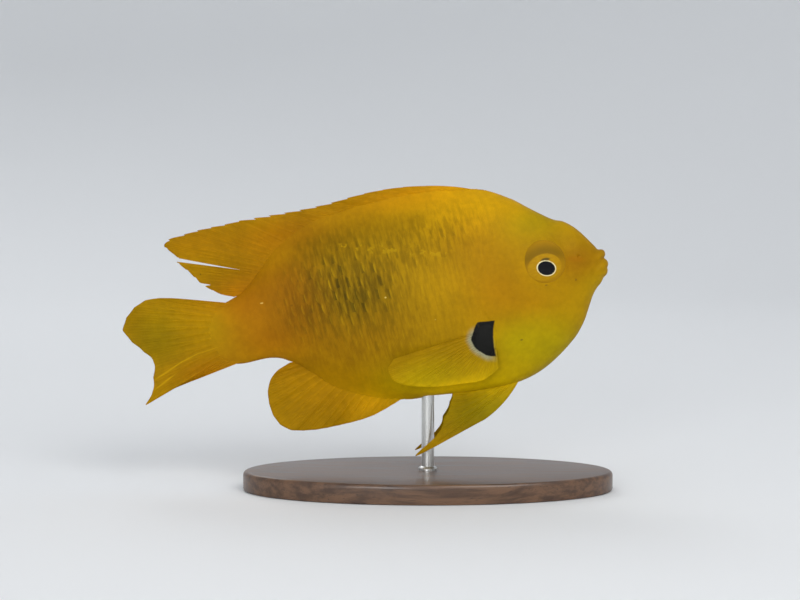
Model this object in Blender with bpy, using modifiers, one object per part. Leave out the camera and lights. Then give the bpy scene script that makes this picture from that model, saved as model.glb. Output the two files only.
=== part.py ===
"""A sulphur damselfish at life size, swimming nose up on a small display stand.

The fish is modelled level in its own frame: +X points forward, +Z up, and a station s is the distance
behind the snout tip, so it lies at X = -s. An empty then tilts it and lifts it over the stand.
Sizes are in millimetres, and MM turns them into metres where vertices are made.
The world's origin is on the floor, under the stand's rod.
"""

import math

import bmesh
import bpy
import numpy as np
from mathutils import Matrix, Vector

MM = 0.001
GAP = 0.3  # clearance between pieces that touch

# Where the fish hangs over the stand
NOSE_UP = math.radians(10.9)
SNOUT_AHEAD_OF_ROD = 36.6
SNOUT_ABOVE_FLOOR = 46.8

# The body without its fins: (station, height above the axis) along the back and the belly
BACK = [(1.2, 2.2), (1.7, 3.3), (2.6, 4.7), (4.9, 7.8), (7.3, 9.9), (9.1, 10.6), (12.4, 12.9), (16.8, 16.2),
        (21.0, 17.9), (27.0, 18.5), (33.5, 18.8), (41.0, 18.5), (49.0, 17.6), (57.5, 15.8), (66.0, 12.6),
        (74.8, 7.9), (78.5, 6.5), (80.5, 5.6), (81.8, 4.2)]
BELLY = [(1.2, -2.4), (1.5, -3.1), (2.0, -3.85), (3.1, -4.8), (4.2, -6.2), (5.3, -8.2), (6.6, -10.6),
         (8.3, -12.9), (10.6, -15.0), (13.0, -16.8), (17.4, -19.3), (23.0, -20.8), (28.4, -21.0),
         (36.0, -20.5), (43.5, -19.4), (50.4, -16.2), (58.5, -12.0), (66.5, -7.8), (70.5, -6.5),
         (78.5, -6.3), (80.5, -5.5), (81.8, -4.2)]
HALF_WIDTH = [(1.2, 1.3), (1.7, 1.9), (2.6, 2.5), (4.9, 3.6), (8.3, 4.8), (12.5, 6.0), (18.0, 7.0), (25.0, 7.7),
              (32.0, 7.9), (40.0, 7.5), (50.0, 6.2), (60.0, 4.6), (70.0, 2.9), (78.0, 1.7), (80.5, 1.1),
              (81.8, 0.6)]
# How pinched a section is towards its top and bottom: 1 is an ellipse, more is sharper
BACK_PINCH = [(1.2, 0.9), (9.0, 0.9), (20.0, 1.08), (40.0, 1.22), (60.0, 1.15), (82.0, 1.0)]
BELLY_PINCH = [(1.2, 0.9), (12.0, 1.0), (28.0, 0.82), (45.0, 0.9), (60.0, 1.05), (82.0, 1.0)]
WIDEST_SHARE = 0.5  # of a section's height, up from the belly

# The tail sways to the fish's left
SWAY_FROM = 42.0
SWAY_END = 100.0
TAIL_SWAY = 4.0

# Cuts between head, trunk and tail stem, as (station, height)
GILL_LINE = [(15.0, 24.0), (17.0, 16.5), (20.6, 11.5), (24.4, 6.5), (26.9, 1.5), (27.5, -2.5), (26.6, -5.6),
             (25.4, -7.6), (26.1, -11.2), (25.9, -14.6), (22.6, -19.2), (18.0, -24.5)]
TAIL_STEM_LINE = [(84.6, 22.0), (75.9, 8.4), (67.4, -8.4), (60.2, -22.0)]
GILL_COVER_RISE = 0.35  # the gill cover's edge over the flank
GILL_COVER_FROM = 19.0

# Eyes
EYE_STATION = 12.9
EYE_HEIGHT = 2.9
EYE_RADIUS = 4.2
EYE_HALF_DEPTH = 2.6
EYE_BULGE = 1.0  # how far the eye stands out of the head
EYE_YAW = math.radians(12)
EYE_PITCH = math.radians(6)
EYE_RIM_RADIUS = 0.5

# Mouth: (station, side, height, radius) along half of each lip, from the middle to the corner
UPPER_LIP = [(0.95, 0.0, 1.92, 0.92), (1.4, 1.15, 1.7, 0.88), (2.4, 2.1, 0.75, 0.78), (4.4, 2.4, -1.15, 0.4)]
LOWER_LIP = [(0.80, 0.0, -0.32, 1.05), (1.3, 1.15, -0.52, 1.0), (2.5, 2.1, -1.2, 0.82), (4.4, 2.35, -2.2, 0.4)]
LIP_SIDES = 8

# Nostrils
NOSTRIL_STATION = 5.9
NOSTRIL_HEIGHT = 2.6
NOSTRIL_RADIUS = 0.42
NOSTRIL_RIM = 0.24

# Fins
FIN_HALF = 0.25  # half the membrane's thickness
RAY_HALF = 0.5  # half the thickness over a ray, at its root
RAY_TIP_HALF = 0.42
EDGE_HALF = 0.16  # half the thickness at the free edge

DORSAL_SPINES = 14
DORSAL_RAYS = 14
SPINES_FROM, SPINES_TO = 19.0, 61.0
DORSAL_RAYS_FROM, DORSAL_RAYS_TO = 62.4, 74.3
SPINE_LEAN = 12.6
SPINE_TIPS = [(21.2, 18.7), (24.5, 20.1), (29.2, 21.4), (34.0, 22.4), (40.0, 23.1), (47.0, 23.1), (54.0, 22.5),
              (72.3, 22.5)]
DORSAL_UPPER_EDGE = [(75.4, 22.3), (80.5, 22.2), (84.5, 21.8), (88.7, 20.8), (86.4, 17.6)]
DORSAL_LOWER_EDGE = [(86.6, 16.5), (84.3, 13.7), (82.5, 11.2), (80.6, 9.6), (78.6, 8.5)]
DORSAL_RAYS_ABOVE_SLIT = 7
SLIT_END = (74.9, 12.9)

ANAL_SPINES = 2
ANAL_RAYS = 15
ANAL_FROM, ANAL_TO = 45.0, 66.0
ANAL_EDGE = [(48.2, -20.3), (53.0, -21.9), (57.5, -22.5), (62.0, -22.7), (66.5, -22.5), (70.6, -21.5), (72.7, -19.5),
             (73.5, -16.4), (73.2, -12.6), (71.5, -9.8), (68.4, -8.4)]

CAUDAL_RAYS = 17
CAUDAL_ROOT_STATION = 77.6
CAUDAL_ROOT_HALF = 5.6
CAUDAL_TOP = [(86.5, 8.8), (91.2, 9.9), (94.4, 10.1), (96.5, 9.4), (98.4, 8.2), (99.7, 6.7), (100.65, 4.8)]
CAUDAL_MIDDLE = [(100.65, 4.8), (98.6, 1.0), (95.6, -2.5), (96.1, -5.3), (96.7, -8.3), (99.0, -11.3)]
CAUDAL_UNDERSIDE = [(99.0, -11.3), (93.0, -9.2), (87.0, -7.9)]

PECTORAL_RAYS = 17
PECTORAL_ROOT = [(28.8, -8.0), (29.9, -10.4), (28.9, -12.8), (26.3, -14.2)]
PECTORAL_EDGE = [(46.6, -10.6), (48.0, -12.2), (47.4, -14.6), (44.2, -16.4), (39.5, -17.5), (34.0, -18.0), (29.2, -18.0),
                 (26.3, -16.4)]
PECTORAL_FAN_FROM = (24.6, -9.0)  # where the rays' lines would meet
PECTORAL_LIFT = math.tan(math.radians(7))
PECTORAL_PAD = (2.5, 1.25, 3.7)
PECTORAL_PAD_AT = (27.8, -10.4)
PECTORAL_PAD_LEAN = math.radians(12)

PELVIC_ROOT = [(23.2, -20.7), (27.4, -20.2)]
PELVIC_TIPS = [(31.8, -27.0), (45.8, -31.2), (40.8, -27.8), (38.9, -25.0), (37.0, -22.3), (36.0, -20.6)]
PELVIC_BOW = 0.7  # how far the rays bend down, at their middle
PELVIC_SIDE = 1.7
PELVIC_SPLAY = math.tan(math.radians(13))

# Stand
BASE_LENGTH = 76.0
BASE_DEPTH = 38.0
BASE_THICKNESS = 4.0
BASE_ROUNDING = 0.9
ROD_RADIUS = 1.3
ROD_TOP = 35.0  # inside the belly, before the cut

BODY_AROUND = 28
RIGHT, LEFT = -1, 1


def curve_at(points, s):
    """Value at the stations s of a smooth curve through (station, value) points."""
    x, y = np.array(points, float).T
    s = np.clip(np.asarray(s, float), x[0], x[-1])
    slope = np.gradient(y, x)
    i = np.clip(np.searchsorted(x, s, side="right") - 1, 0, len(x) - 2)
    step = x[i + 1] - x[i]
    t = (s - x[i]) / step
    return ((2 * t**3 - 3 * t**2 + 1) * y[i] + (t**3 - 2 * t**2 + t) * step * slope[i]
            + (3 * t**2 - 2 * t**3) * y[i + 1] + (t**3 - t**2) * step * slope[i + 1])


def line_through(points, count):
    """count points, evenly spaced along a smooth line through the given ones."""
    p = np.array(points, float)
    run = np.concatenate([[0], np.cumsum(np.linalg.norm(np.diff(p, axis=0), axis=1))])
    at = np.linspace(0, run[-1], count)
    return np.stack([curve_at(list(zip(run, p[:, k])), at) for k in range(p.shape[1])], axis=1)


def smooth_step(t):
    t = np.clip(t, 0, 1)
    return t * t * (3 - 2 * t)


def sway(s):
    """How far the body's middle plane is bent to the left at station s."""
    return TAIL_SWAY * np.clip((np.asarray(s, float) - SWAY_FROM) / (SWAY_END - SWAY_FROM), 0, None) ** 2


def place(s, side, height):
    """Points in the fish's frame, in metres."""
    s, side, height = np.broadcast_arrays(s, side, height)
    return np.stack([-s, side + sway(s), height], axis=-1) * MM


def section(s, angle, grow=0.0, cover=0.0):
    """Side and height of the body's surface at station s, at an angle from the back."""
    top = curve_at(BACK, s) + grow
    bottom = curve_at(BELLY, s) - grow
    half = curve_at(HALF_WIDTH, s) + grow + cover * smooth_step((s - GILL_COVER_FROM) / 6)
    widest = bottom + WIDEST_SHARE * (top - bottom)
    up = np.cos(angle) >= 0
    height = widest + np.cos(angle) * np.where(up, top - widest, widest - bottom)
    pinch = np.where(up, curve_at(BACK_PINCH, s), curve_at(BELLY_PINCH, s))
    side = half * np.sign(np.sin(angle)) * np.abs(np.sin(angle)) ** pinch
    return side, height


def flank(s, height):
    """Half the body's width at a station and a height."""
    top, bottom = curve_at(BACK, s), curve_at(BELLY, s)
    widest = bottom + WIDEST_SHARE * (top - bottom)
    share = (height - widest) / np.where(height >= widest, top - widest, widest - bottom)
    pinch = np.where(height >= widest, curve_at(BACK_PINCH, s), curve_at(BELLY_PINCH, s))
    return float(curve_at(HALF_WIDTH, s) * np.clip(1 - share**2, 0, 1) ** (pinch / 2))


def material(name, colour, roughness, metallic=0.0):
    made = bpy.data.materials.new(name)
    made.use_nodes = True
    shader = made.node_tree.nodes["Principled BSDF"]
    shader.inputs["Base Color"].default_value = (*colour, 1)
    shader.inputs["Roughness"].default_value = roughness
    shader.inputs["Metallic"].default_value = metallic
    return made


def new_object(name, mesh, collection):
    made = bpy.data.objects.new(name, mesh)
    collection.objects.link(made)
    return made


def mesh_object(name, points, faces, collection):
    """An object from points and faces, with its faces turned outwards."""
    mesh = bpy.data.meshes.new(name)
    mesh.from_pydata([tuple(p) for p in points], [], faces)
    shell = bmesh.new()
    shell.from_mesh(mesh)
    bmesh.ops.recalc_face_normals(shell, faces=shell.faces)
    shell.to_mesh(mesh)
    shell.free()
    return new_object(name, mesh, collection)


def apply_modifiers(item):
    """Replaces an object's mesh by what its modifiers make of it."""
    bpy.context.view_layer.update()
    seen = item.evaluated_get(bpy.context.evaluated_depsgraph_get())
    made = bpy.data.meshes.new_from_object(seen)
    item.modifiers.clear()
    item.data = made


def keep_largest(item):
    """Keeps only the closed surface that holds the most volume."""
    shell = bmesh.new()
    shell.from_mesh(item.data)
    left, surfaces = set(shell.faces), []
    while left:
        stack, found = [left.pop()], []
        while stack:
            face = stack.pop()
            found.append(face)
            for edge in face.edges:
                for other in edge.link_faces:
                    if other in left:
                        left.remove(other)
                        stack.append(other)
        surfaces.append(found)

    def volume(faces):
        total = 0.0
        for face in faces:
            corner = face.verts[0].co
            for a, b in zip(face.verts[1:-1], face.verts[2:]):
                total += corner.dot(a.co.cross(b.co)) / 6
        return abs(total)

    surfaces.sort(key=volume)
    for faces in surfaces[:-1]:
        bmesh.ops.delete(shell, geom=faces, context="FACES")
    shell.to_mesh(item.data)
    shell.free()


def combine(item, operation, *others):
    """Joins others to item, cuts them from it or keeps what they share. Joined pieces are used up."""
    if operation == "UNION":
        pieces = bpy.data.collections.new("pieces")
        bpy.context.scene.collection.children.link(pieces)
        for other in others:
            for owner in list(other.users_collection):
                owner.objects.unlink(other)
            pieces.objects.link(other)
        change = item.modifiers.new("join", "BOOLEAN")
        change.operation = "UNION"
        change.operand_type = "COLLECTION"
        change.collection = pieces
        change.solver = "EXACT"
    else:
        for other in others:
            change = item.modifiers.new("cut", "BOOLEAN")
            change.operation = operation
            change.object = other
            change.solver = "EXACT"
    apply_modifiers(item)
    if operation == "UNION":
        for other in others:
            bpy.data.objects.remove(other)
        bpy.data.collections.remove(pieces)
    keep_largest(item)
    return item


def body_loft(name, stations, collection, grow=0.0, cover=0.0):
    """The whole body as one closed surface, sections joined from the snout to the tail's root."""
    angles = np.linspace(0, 2 * math.pi, BODY_AROUND, endpoint=False)
    rings = []
    for s in stations:
        side, height = section(s, angles, grow, cover)
        rings.append(place(s, side, height))
    points = np.concatenate(rings)
    faces = []
    for k in range(len(stations) - 1):
        for a in range(BODY_AROUND):
            b = (a + 1) % BODY_AROUND
            low, high = k * BODY_AROUND, (k + 1) * BODY_AROUND
            faces.append((low + a, low + b, high + b, high + a))
    faces.append(tuple(range(BODY_AROUND)))
    faces.append(tuple(range(len(points) - BODY_AROUND, len(points))))
    return mesh_object(name, points, faces, collection)


def body_stations(first, last, steps):
    """Stations that crowd together towards the snout."""
    return first + (last - first) * np.linspace(0, 1, steps) ** 1.45


def prism(name, outline, collection, half=16.0):
    """A block with a given side view that reaches through the whole fish."""
    count = len(outline)
    near = [(-s * MM, -half * MM, h * MM) for s, h in outline]
    far = [(-s * MM, half * MM, h * MM) for s, h in outline]
    faces = [tuple(range(count)), tuple(range(2 * count - 1, count - 1, -1))]
    faces += [(k, count + k, count + (k + 1) % count, (k + 1) % count) for k in range(count)]
    return mesh_object(name, near + far, faces, collection)


def moved_line(points, shift):
    """A side-view line moved sideways, towards the tail where shift is positive."""
    p = np.array(points, float)
    along = np.gradient(p, axis=0)
    along /= np.linalg.norm(along, axis=1)[:, None]
    return p + shift * np.stack([-along[:, 1], along[:, 0]], axis=1)


def make_cutters(collection):
    """Blocks that take the head, the trunk and the tail stem out of the body, a gap apart."""
    gill = line_through(GILL_LINE, 26)
    stem = np.array(TAIL_STEM_LINE, float)
    half = GAP / 2
    head = [*moved_line(gill, -half), (-8.0, -40.0), (-8.0, 40.0)]
    trunk = [*moved_line(gill, half), *moved_line(stem, -half)[::-1]]
    tail = [*moved_line(stem, half), (90.0, -22.0), (90.0, 22.0)]
    return (prism("head_block", head, collection), prism("trunk_block", trunk, collection),
            prism("tail_block", tail, collection))


def ball(name, centre, radii, collection, turn=None, segments=20, rings=12):
    """An ellipsoid centred at (station, side, height)."""
    shell = bmesh.new()
    bmesh.ops.create_uvsphere(shell, u_segments=segments, v_segments=rings, radius=1)
    place_it = Matrix.Translation(Vector(place(*centre))) @ (turn or Matrix.Identity(4))
    place_it = place_it @ Matrix.Diagonal((*(r * MM for r in radii), 1))
    shell.transform(place_it)
    mesh = bpy.data.meshes.new(name)
    shell.to_mesh(mesh)
    shell.free()
    return new_object(name, mesh, collection)


def tube(name, points, radii, collection, sides=LIP_SIDES, closed=False):
    """A tube through points in metres, as a closed mesh."""
    path = bpy.data.curves.new(name, "CURVE")
    path.dimensions = "3D"
    path.bevel_depth = 1.0
    path.bevel_resolution = (sides - 4) // 2
    path.use_fill_caps = not closed
    spline = path.splines.new("POLY")
    spline.points.add(len(points) - 1)
    spline.use_cyclic_u = closed
    for place_on, p, r in zip(spline.points, points, radii):
        place_on.co = (*p, 1)
        place_on.radius = r * MM
    guide = new_object(name + "_path", path, collection)
    bpy.context.view_layer.update()
    mesh = bpy.data.meshes.new_from_object(guide.evaluated_get(bpy.context.evaluated_depsgraph_get()))
    shell = bmesh.new()
    shell.from_mesh(mesh)
    bmesh.ops.remove_doubles(shell, verts=shell.verts, dist=0.00001)
    bmesh.ops.recalc_face_normals(shell, faces=shell.faces)
    shell.to_mesh(mesh)
    shell.free()
    bpy.data.objects.remove(guide)
    return new_object(name, mesh, collection)


def lip(name, half_line, collection):
    """A lip from one mouth corner round the snout to the other."""
    half = line_through(half_line, 7)
    line = np.concatenate([half[::-1] * (1, -1, 1, 1), half[1:]])
    return tube(name, place(line[:, 0], line[:, 1], line[:, 2]), line[:, 3], collection)


def eye_frame(side):
    """The turn of an eye, and its centre, which sits so that the eye stands out of the head a little."""
    turn = Matrix.Rotation(-side * EYE_YAW, 4, "Z") @ Matrix.Rotation(side * EYE_PITCH, 4, "X")
    inwards = (turn @ Vector((0, -side, 0))) * (EYE_HALF_DEPTH - EYE_BULGE)
    surface = side * flank(EYE_STATION, EYE_HEIGHT)
    return turn, (EYE_STATION - inwards.x, surface + inwards.y, EYE_HEIGHT + inwards.z)


def make_eye(name, side, collection, grow=0.0):
    turn, centre = eye_frame(side)
    radii = (EYE_RADIUS + grow, EYE_HALF_DEPTH + grow, EYE_RADIUS + grow)
    return ball(name, centre, radii, collection, turn)


def ring_on_head(name, station, height, radius, thickness, side, collection, points=20, sink=0.0, sides=6):
    """A raised ring that lies on the side of the head."""
    angles = np.linspace(0, 2 * math.pi, points, endpoint=False)
    line = []
    for a in angles:
        s, h = station + radius * math.cos(a), height + radius * math.sin(a)
        line.append(place(s, side * (flank(s, h) - sink), h))
    return tube(name, line, [thickness] * points, collection, sides=sides, closed=True)


def make_head(whole, blocks, parts, cutters):
    """The head with its lips, eye rims, eye sockets and nostrils."""
    head = combine(whole, "INTERSECT", blocks[0])
    pieces = [lip("upper_lip", UPPER_LIP, parts), lip("lower_lip", LOWER_LIP, parts)]
    holes = []
    for side in (RIGHT, LEFT):
        pieces.append(ring_on_head("eye_rim", EYE_STATION, EYE_HEIGHT, EYE_RADIUS + 0.35, EYE_RIM_RADIUS,
                                   side, parts, sink=0.1))
        pieces.append(ring_on_head("nostril_rim", NOSTRIL_STATION, NOSTRIL_HEIGHT, NOSTRIL_RADIUS + 0.12,
                                   NOSTRIL_RIM, side, parts, points=10))
        holes.append(make_eye("eye_socket", side, cutters, grow=GAP))
        surface = flank(NOSTRIL_STATION, NOSTRIL_HEIGHT)
        holes.append(ball("nostril", (NOSTRIL_STATION, side * surface, NOSTRIL_HEIGHT),
                          (NOSTRIL_RADIUS, 0.9, NOSTRIL_RADIUS), cutters, segments=10, rings=6))
    combine(head, "UNION", *pieces)
    combine(head, "DIFFERENCE", *holes)
    return head


def sheet(name, middle, half, across, collection):
    """A closed fin from a grid of middle points (columns, rows, 3) in metres and its half thickness.

    Both faces are split into like triangles, so that a bent fin's faces never cross.
    """
    columns, rows = half.shape
    offset = half[..., None] * MM * np.asarray(across, float)
    points = np.concatenate([(middle + offset).reshape(-1, 3), (middle - offset).reshape(-1, 3)])
    behind = columns * rows

    def at(c, r):
        return c * rows + r

    faces = []
    for c in range(columns - 1):
        for r in range(rows - 1):
            for tri in ((at(c, r), at(c + 1, r), at(c + 1, r + 1)), (at(c, r), at(c + 1, r + 1), at(c, r + 1))):
                faces.append(tri)
                faces.append(tuple(behind + k for k in reversed(tri)))
    border = [at(c, 0) for c in range(columns)] + [at(columns - 1, r) for r in range(1, rows)]
    border += [at(c, rows - 1) for c in range(columns - 2, -1, -1)] + [at(0, r) for r in range(rows - 2, 0, -1)]
    for a, b in zip(border, border[1:] + border[:1]):
        faces.append((a, behind + a, behind + b))
        faces.append((a, behind + b, b))
    return mesh_object(name, points, faces, collection)


def fin_columns(roots, tips, incision):
    """Ray lines and, between each pair, the membrane's own line, which ends short by the incision's share."""
    lines = [(roots[0], tips[0], True)]
    for k in range(1, len(roots)):
        root, tip = (roots[k - 1] + roots[k]) / 2, (tips[k - 1] + tips[k]) / 2
        lines.append((root, tip + (root - tip) * incision, False))
        lines.append((roots[k], tips[k], True))
    return lines


def make_fin(name, lines, rows, across, side_at, collection, bow=0.0):
    """A fin whose rays stand proud of its membrane. Each line is (root, tip, whether it is a ray).

    side_at gives how far off the middle plane a point lies, and bow bends the rays down and forward.
    """
    share = np.linspace(0, 1, rows)
    middle = np.zeros((len(lines), rows, 3))
    half = np.zeros((len(lines), rows))
    for c, (root, tip, is_ray) in enumerate(lines):
        along = (tip - root) / np.linalg.norm(tip - root)
        line = root + (tip - root) * share[:, None]
        line += bow * (4 * share * (1 - share))[:, None] * np.array([along[1], -along[0]])
        side = side_at(line[:, 0], line[:, 1])
        middle[c] = place(line[:, 0], side, line[:, 1])
        half[c] = RAY_HALF + (RAY_TIP_HALF - RAY_HALF) * share if is_ray else FIN_HALF
        half[c, -1] = EDGE_HALF
    return sheet(name, middle, half, across, collection)


def on_middle(s, h):
    """The place of a fin that stands on the middle plane."""
    return 0 * s


def sunk(roots, tips, depth):
    """Roots moved back along their own lines, into the body."""
    along = roots - tips
    return roots + along / np.linalg.norm(along, axis=1)[:, None] * depth


def make_dorsal_fin(collection):
    spine_s = np.linspace(SPINES_FROM, SPINES_TO, DORSAL_SPINES)
    order = np.arange(DORSAL_SPINES)
    tip_s = spine_s + SPINE_LEAN * (1 - np.exp(-(order + 0.55) / 2.6)) - 1.4 * (order / DORSAL_SPINES) ** 2
    spine_roots = np.stack([spine_s, curve_at(BACK, spine_s)], axis=1)
    spine_tips = np.stack([tip_s, curve_at(SPINE_TIPS, tip_s)], axis=1)
    ray_s = np.linspace(DORSAL_RAYS_FROM, DORSAL_RAYS_TO, DORSAL_RAYS)
    ray_roots = np.stack([ray_s, curve_at(BACK, ray_s)], axis=1)
    above = DORSAL_RAYS_ABOVE_SLIT
    ray_tips = np.concatenate([line_through(DORSAL_UPPER_EDGE, above),
                               line_through(DORSAL_LOWER_EDGE, DORSAL_RAYS - above)])
    roots = np.concatenate([spine_roots, ray_roots])
    tips = np.concatenate([spine_tips, ray_tips])
    lines = fin_columns(sunk(roots, tips, 2.6), tips, 0.06)
    slit = 2 * (DORSAL_SPINES + above) - 1
    lines[slit] = (lines[slit][0], np.array(SLIT_END), False)
    return make_fin("dorsal_fin", lines, 6, (0, 1, 0), on_middle, collection)


def make_anal_fin(collection):
    count = ANAL_SPINES + ANAL_RAYS
    root_s = np.linspace(ANAL_FROM, ANAL_TO, count)
    roots = np.stack([root_s, curve_at(BELLY, root_s)], axis=1)
    tips = line_through(ANAL_EDGE, count)
    lines = fin_columns(sunk(roots, tips, 2.2), tips, 0.01)
    return make_fin("anal_fin", lines, 5, (0, 1, 0), on_middle, collection)


def make_caudal_fin(collection):
    angle = np.linspace(1, -1, CAUDAL_RAYS)
    roots = np.stack([CAUDAL_ROOT_STATION + 1.6 * (1 - angle**2), CAUDAL_ROOT_HALF * angle], axis=1)
    tips = np.concatenate([line_through(CAUDAL_TOP, 7)[:-1], line_through(CAUDAL_MIDDLE, 7)[:-1],
                           line_through(CAUDAL_UNDERSIDE, CAUDAL_RAYS - 12)])
    lines = fin_columns(roots, tips, 0.008)
    return make_fin("caudal_fin", lines, 7, (0, 1, 0), on_middle, collection)


def make_pectoral_fin(name, side, collection):
    """The fan of rays and the fleshy pad that it grows from."""
    roots = line_through(PECTORAL_ROOT, PECTORAL_RAYS)
    tips = line_through(PECTORAL_EDGE, PECTORAL_RAYS)
    pad_s, pad_h = PECTORAL_PAD_AT
    start = flank(pad_s, pad_h) + 0.15

    def side_at(s, h):
        away = np.hypot(s - pad_s, h - pad_h)
        return side * (start + PECTORAL_LIFT * away)

    inner = roots + (np.array(PECTORAL_FAN_FROM) - roots) * 0.45
    fan = make_fin(name, fin_columns(inner, tips, 0.008), 6, (0, 1, 0), side_at, collection)
    lean = Matrix.Rotation(PECTORAL_PAD_LEAN, 4, "Y")
    pad = ball("pad", (pad_s, side * (start - 0.25), pad_h), PECTORAL_PAD, collection, lean, 16, 10)
    return combine(fan, "UNION", pad)


def make_pelvic_fin(name, side, collection):
    roots = line_through(PELVIC_ROOT, len(PELVIC_TIPS))
    tips = np.array(PELVIC_TIPS)
    below = PELVIC_ROOT[0][1]
    lines = fin_columns(sunk(roots, tips, 1.6), tips, 0.02)
    across = (0, math.cos(math.atan(PELVIC_SPLAY)), side * math.sin(math.atan(PELVIC_SPLAY)))

    def side_at(s, h):
        return side * (PELVIC_SIDE + PELVIC_SPLAY * (below - h))

    return make_fin(name, lines, 6, across, side_at, collection, bow=PELVIC_BOW)


def make_base(collection):
    """A flat oval base with a rounded edge."""
    shell = bmesh.new()
    bmesh.ops.create_cone(shell, cap_ends=True, segments=48, radius1=1, radius2=1, depth=1)
    size = (BASE_LENGTH / 2 * MM, BASE_DEPTH / 2 * MM, BASE_THICKNESS * MM)
    shell.transform(Matrix.Translation((0, 0, BASE_THICKNESS / 2 * MM)) @ Matrix.Diagonal((*size, 1)))
    mesh = bpy.data.meshes.new("stand_base")
    shell.to_mesh(mesh)
    shell.free()
    base = new_object("stand_base", mesh, collection)
    edge = base.modifiers.new("edge", "BEVEL")
    edge.width = BASE_ROUNDING * MM
    edge.segments = 2
    edge.limit_method = "ANGLE"
    edge.angle_limit = math.radians(60)
    return base


def make_rod(collection):
    low, high = (BASE_THICKNESS + GAP) * MM, ROD_TOP * MM
    bpy.ops.mesh.primitive_cylinder_add(vertices=20, radius=ROD_RADIUS * MM, depth=high - low,
                                        location=(0, 0, (low + high) / 2))
    rod = bpy.context.object
    rod.name = "stand_rod"
    for owner in list(rod.users_collection):
        owner.objects.unlink(rod)
    collection.objects.link(rod)
    return rod


def finish(item, surface, smooth=True):
    item.data.materials.clear()
    item.data.materials.append(surface)
    if smooth:
        item.data.shade_smooth()
        item.data.set_sharp_from_angle(angle=math.radians(40))


def main():
    for old in list(bpy.data.objects):
        bpy.data.objects.remove(old)
    fish = bpy.data.collections.new("sulphur_damselfish")
    cutters = bpy.data.collections.new("cutters")
    for group in (fish, cutters):
        bpy.context.scene.collection.children.link(group)

    blocks = make_cutters(cutters)
    snout, tail_end = BACK[0][0], BACK[-1][0]
    stations = body_stations(snout, tail_end, 46)
    clear_of_body = body_loft("clear_of_body", stations, cutters, grow=GAP)

    head = make_head(body_loft("head", stations, fish, cover=GILL_COVER_RISE), blocks, fish, cutters)
    trunk = combine(body_loft("trunk", stations, fish), "INTERSECT", blocks[1])
    tail_stem = combine(body_loft("tail_stem", stations, fish), "INTERSECT", blocks[2])
    eyes = [make_eye("eye_right", RIGHT, fish), make_eye("eye_left", LEFT, fish)]
    fins = [make_dorsal_fin(fish), make_anal_fin(fish), make_caudal_fin(fish)]
    for name, side in (("right", RIGHT), ("left", LEFT)):
        pectoral = make_pectoral_fin("pectoral_fin_" + name, side, fish)
        fins.append(combine(pectoral, "INTERSECT", blocks[1]))
        fins.append(make_pelvic_fin("pelvic_fin_" + name, side, fish))
    for fin in fins:
        combine(fin, "DIFFERENCE", clear_of_body)

    pose = bpy.data.objects.new("fish_pose", None)
    fish.objects.link(pose)
    pose.location = (SNOUT_AHEAD_OF_ROD * MM, 0, SNOUT_ABOVE_FLOOR * MM)
    pose.rotation_euler = (0, -NOSE_UP, 0)
    for item in [head, trunk, tail_stem, *eyes, *fins, clear_of_body]:
        item.parent = pose

    base = make_base(fish)
    rod = combine(make_rod(fish), "DIFFERENCE", clear_of_body)

    skin = material("fish_skin", (0.45, 0.25, 0.005), 0.4)
    membrane = material("fin_membrane", (0.42, 0.21, 0.005), 0.45)
    eye_gold = material("eye_gold", (0.45, 0.24, 0.01), 0.15)
    wood = material("stand_wood", (0.09, 0.045, 0.022), 0.45)
    steel = material("stand_steel", (0.6, 0.6, 0.6), 0.3, metallic=1.0)
    for items, surface in (([head, trunk, tail_stem], skin), (fins, membrane), (eyes, eye_gold),
                           ([base], wood), ([rod], steel)):
        for item in items:
            finish(item, surface)
    for cutter in cutters.objects:
        cutter.hide_render = True
        cutter.display_type = "WIRE"


main()
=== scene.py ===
"""A sulphur damselfish at life size on a display stand: skin, scales, fins, eyes and stand.

The fish is made level in its own frame, as in the solids. A station s is the distance behind the snout
tip, side is positive to the fish's left, and height is above the fish's axis, all in millimetres.
MM turns them into metres, and POSE tilts the fish and lifts it over the stand.
"""

import math

import bmesh
import bpy
import numpy as np
from mathutils import Matrix, Vector


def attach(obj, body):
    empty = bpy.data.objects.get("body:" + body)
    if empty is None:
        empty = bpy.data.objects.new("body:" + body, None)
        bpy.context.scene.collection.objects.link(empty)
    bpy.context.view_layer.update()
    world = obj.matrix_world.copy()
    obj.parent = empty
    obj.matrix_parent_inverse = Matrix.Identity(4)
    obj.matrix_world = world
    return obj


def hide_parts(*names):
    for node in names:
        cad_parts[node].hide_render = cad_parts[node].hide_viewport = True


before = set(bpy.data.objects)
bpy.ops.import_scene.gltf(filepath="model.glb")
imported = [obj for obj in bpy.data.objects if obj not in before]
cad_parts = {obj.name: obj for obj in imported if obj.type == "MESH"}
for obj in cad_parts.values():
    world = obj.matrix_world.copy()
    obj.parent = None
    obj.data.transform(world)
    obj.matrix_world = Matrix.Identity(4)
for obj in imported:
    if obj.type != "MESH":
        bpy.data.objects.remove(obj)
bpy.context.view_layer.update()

MM = 0.001
RIGHT, LEFT = -1, 1

# Where the fish hangs over the stand
NOSE_UP = math.radians(10.9)
SNOUT_AHEAD_OF_ROD = 36.6
SNOUT_ABOVE_FLOOR = 46.8
POSE = (Matrix.Translation((SNOUT_AHEAD_OF_ROD * MM, 0, SNOUT_ABOVE_FLOOR * MM))
        @ Matrix.Rotation(-NOSE_UP, 4, "Y"))

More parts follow.
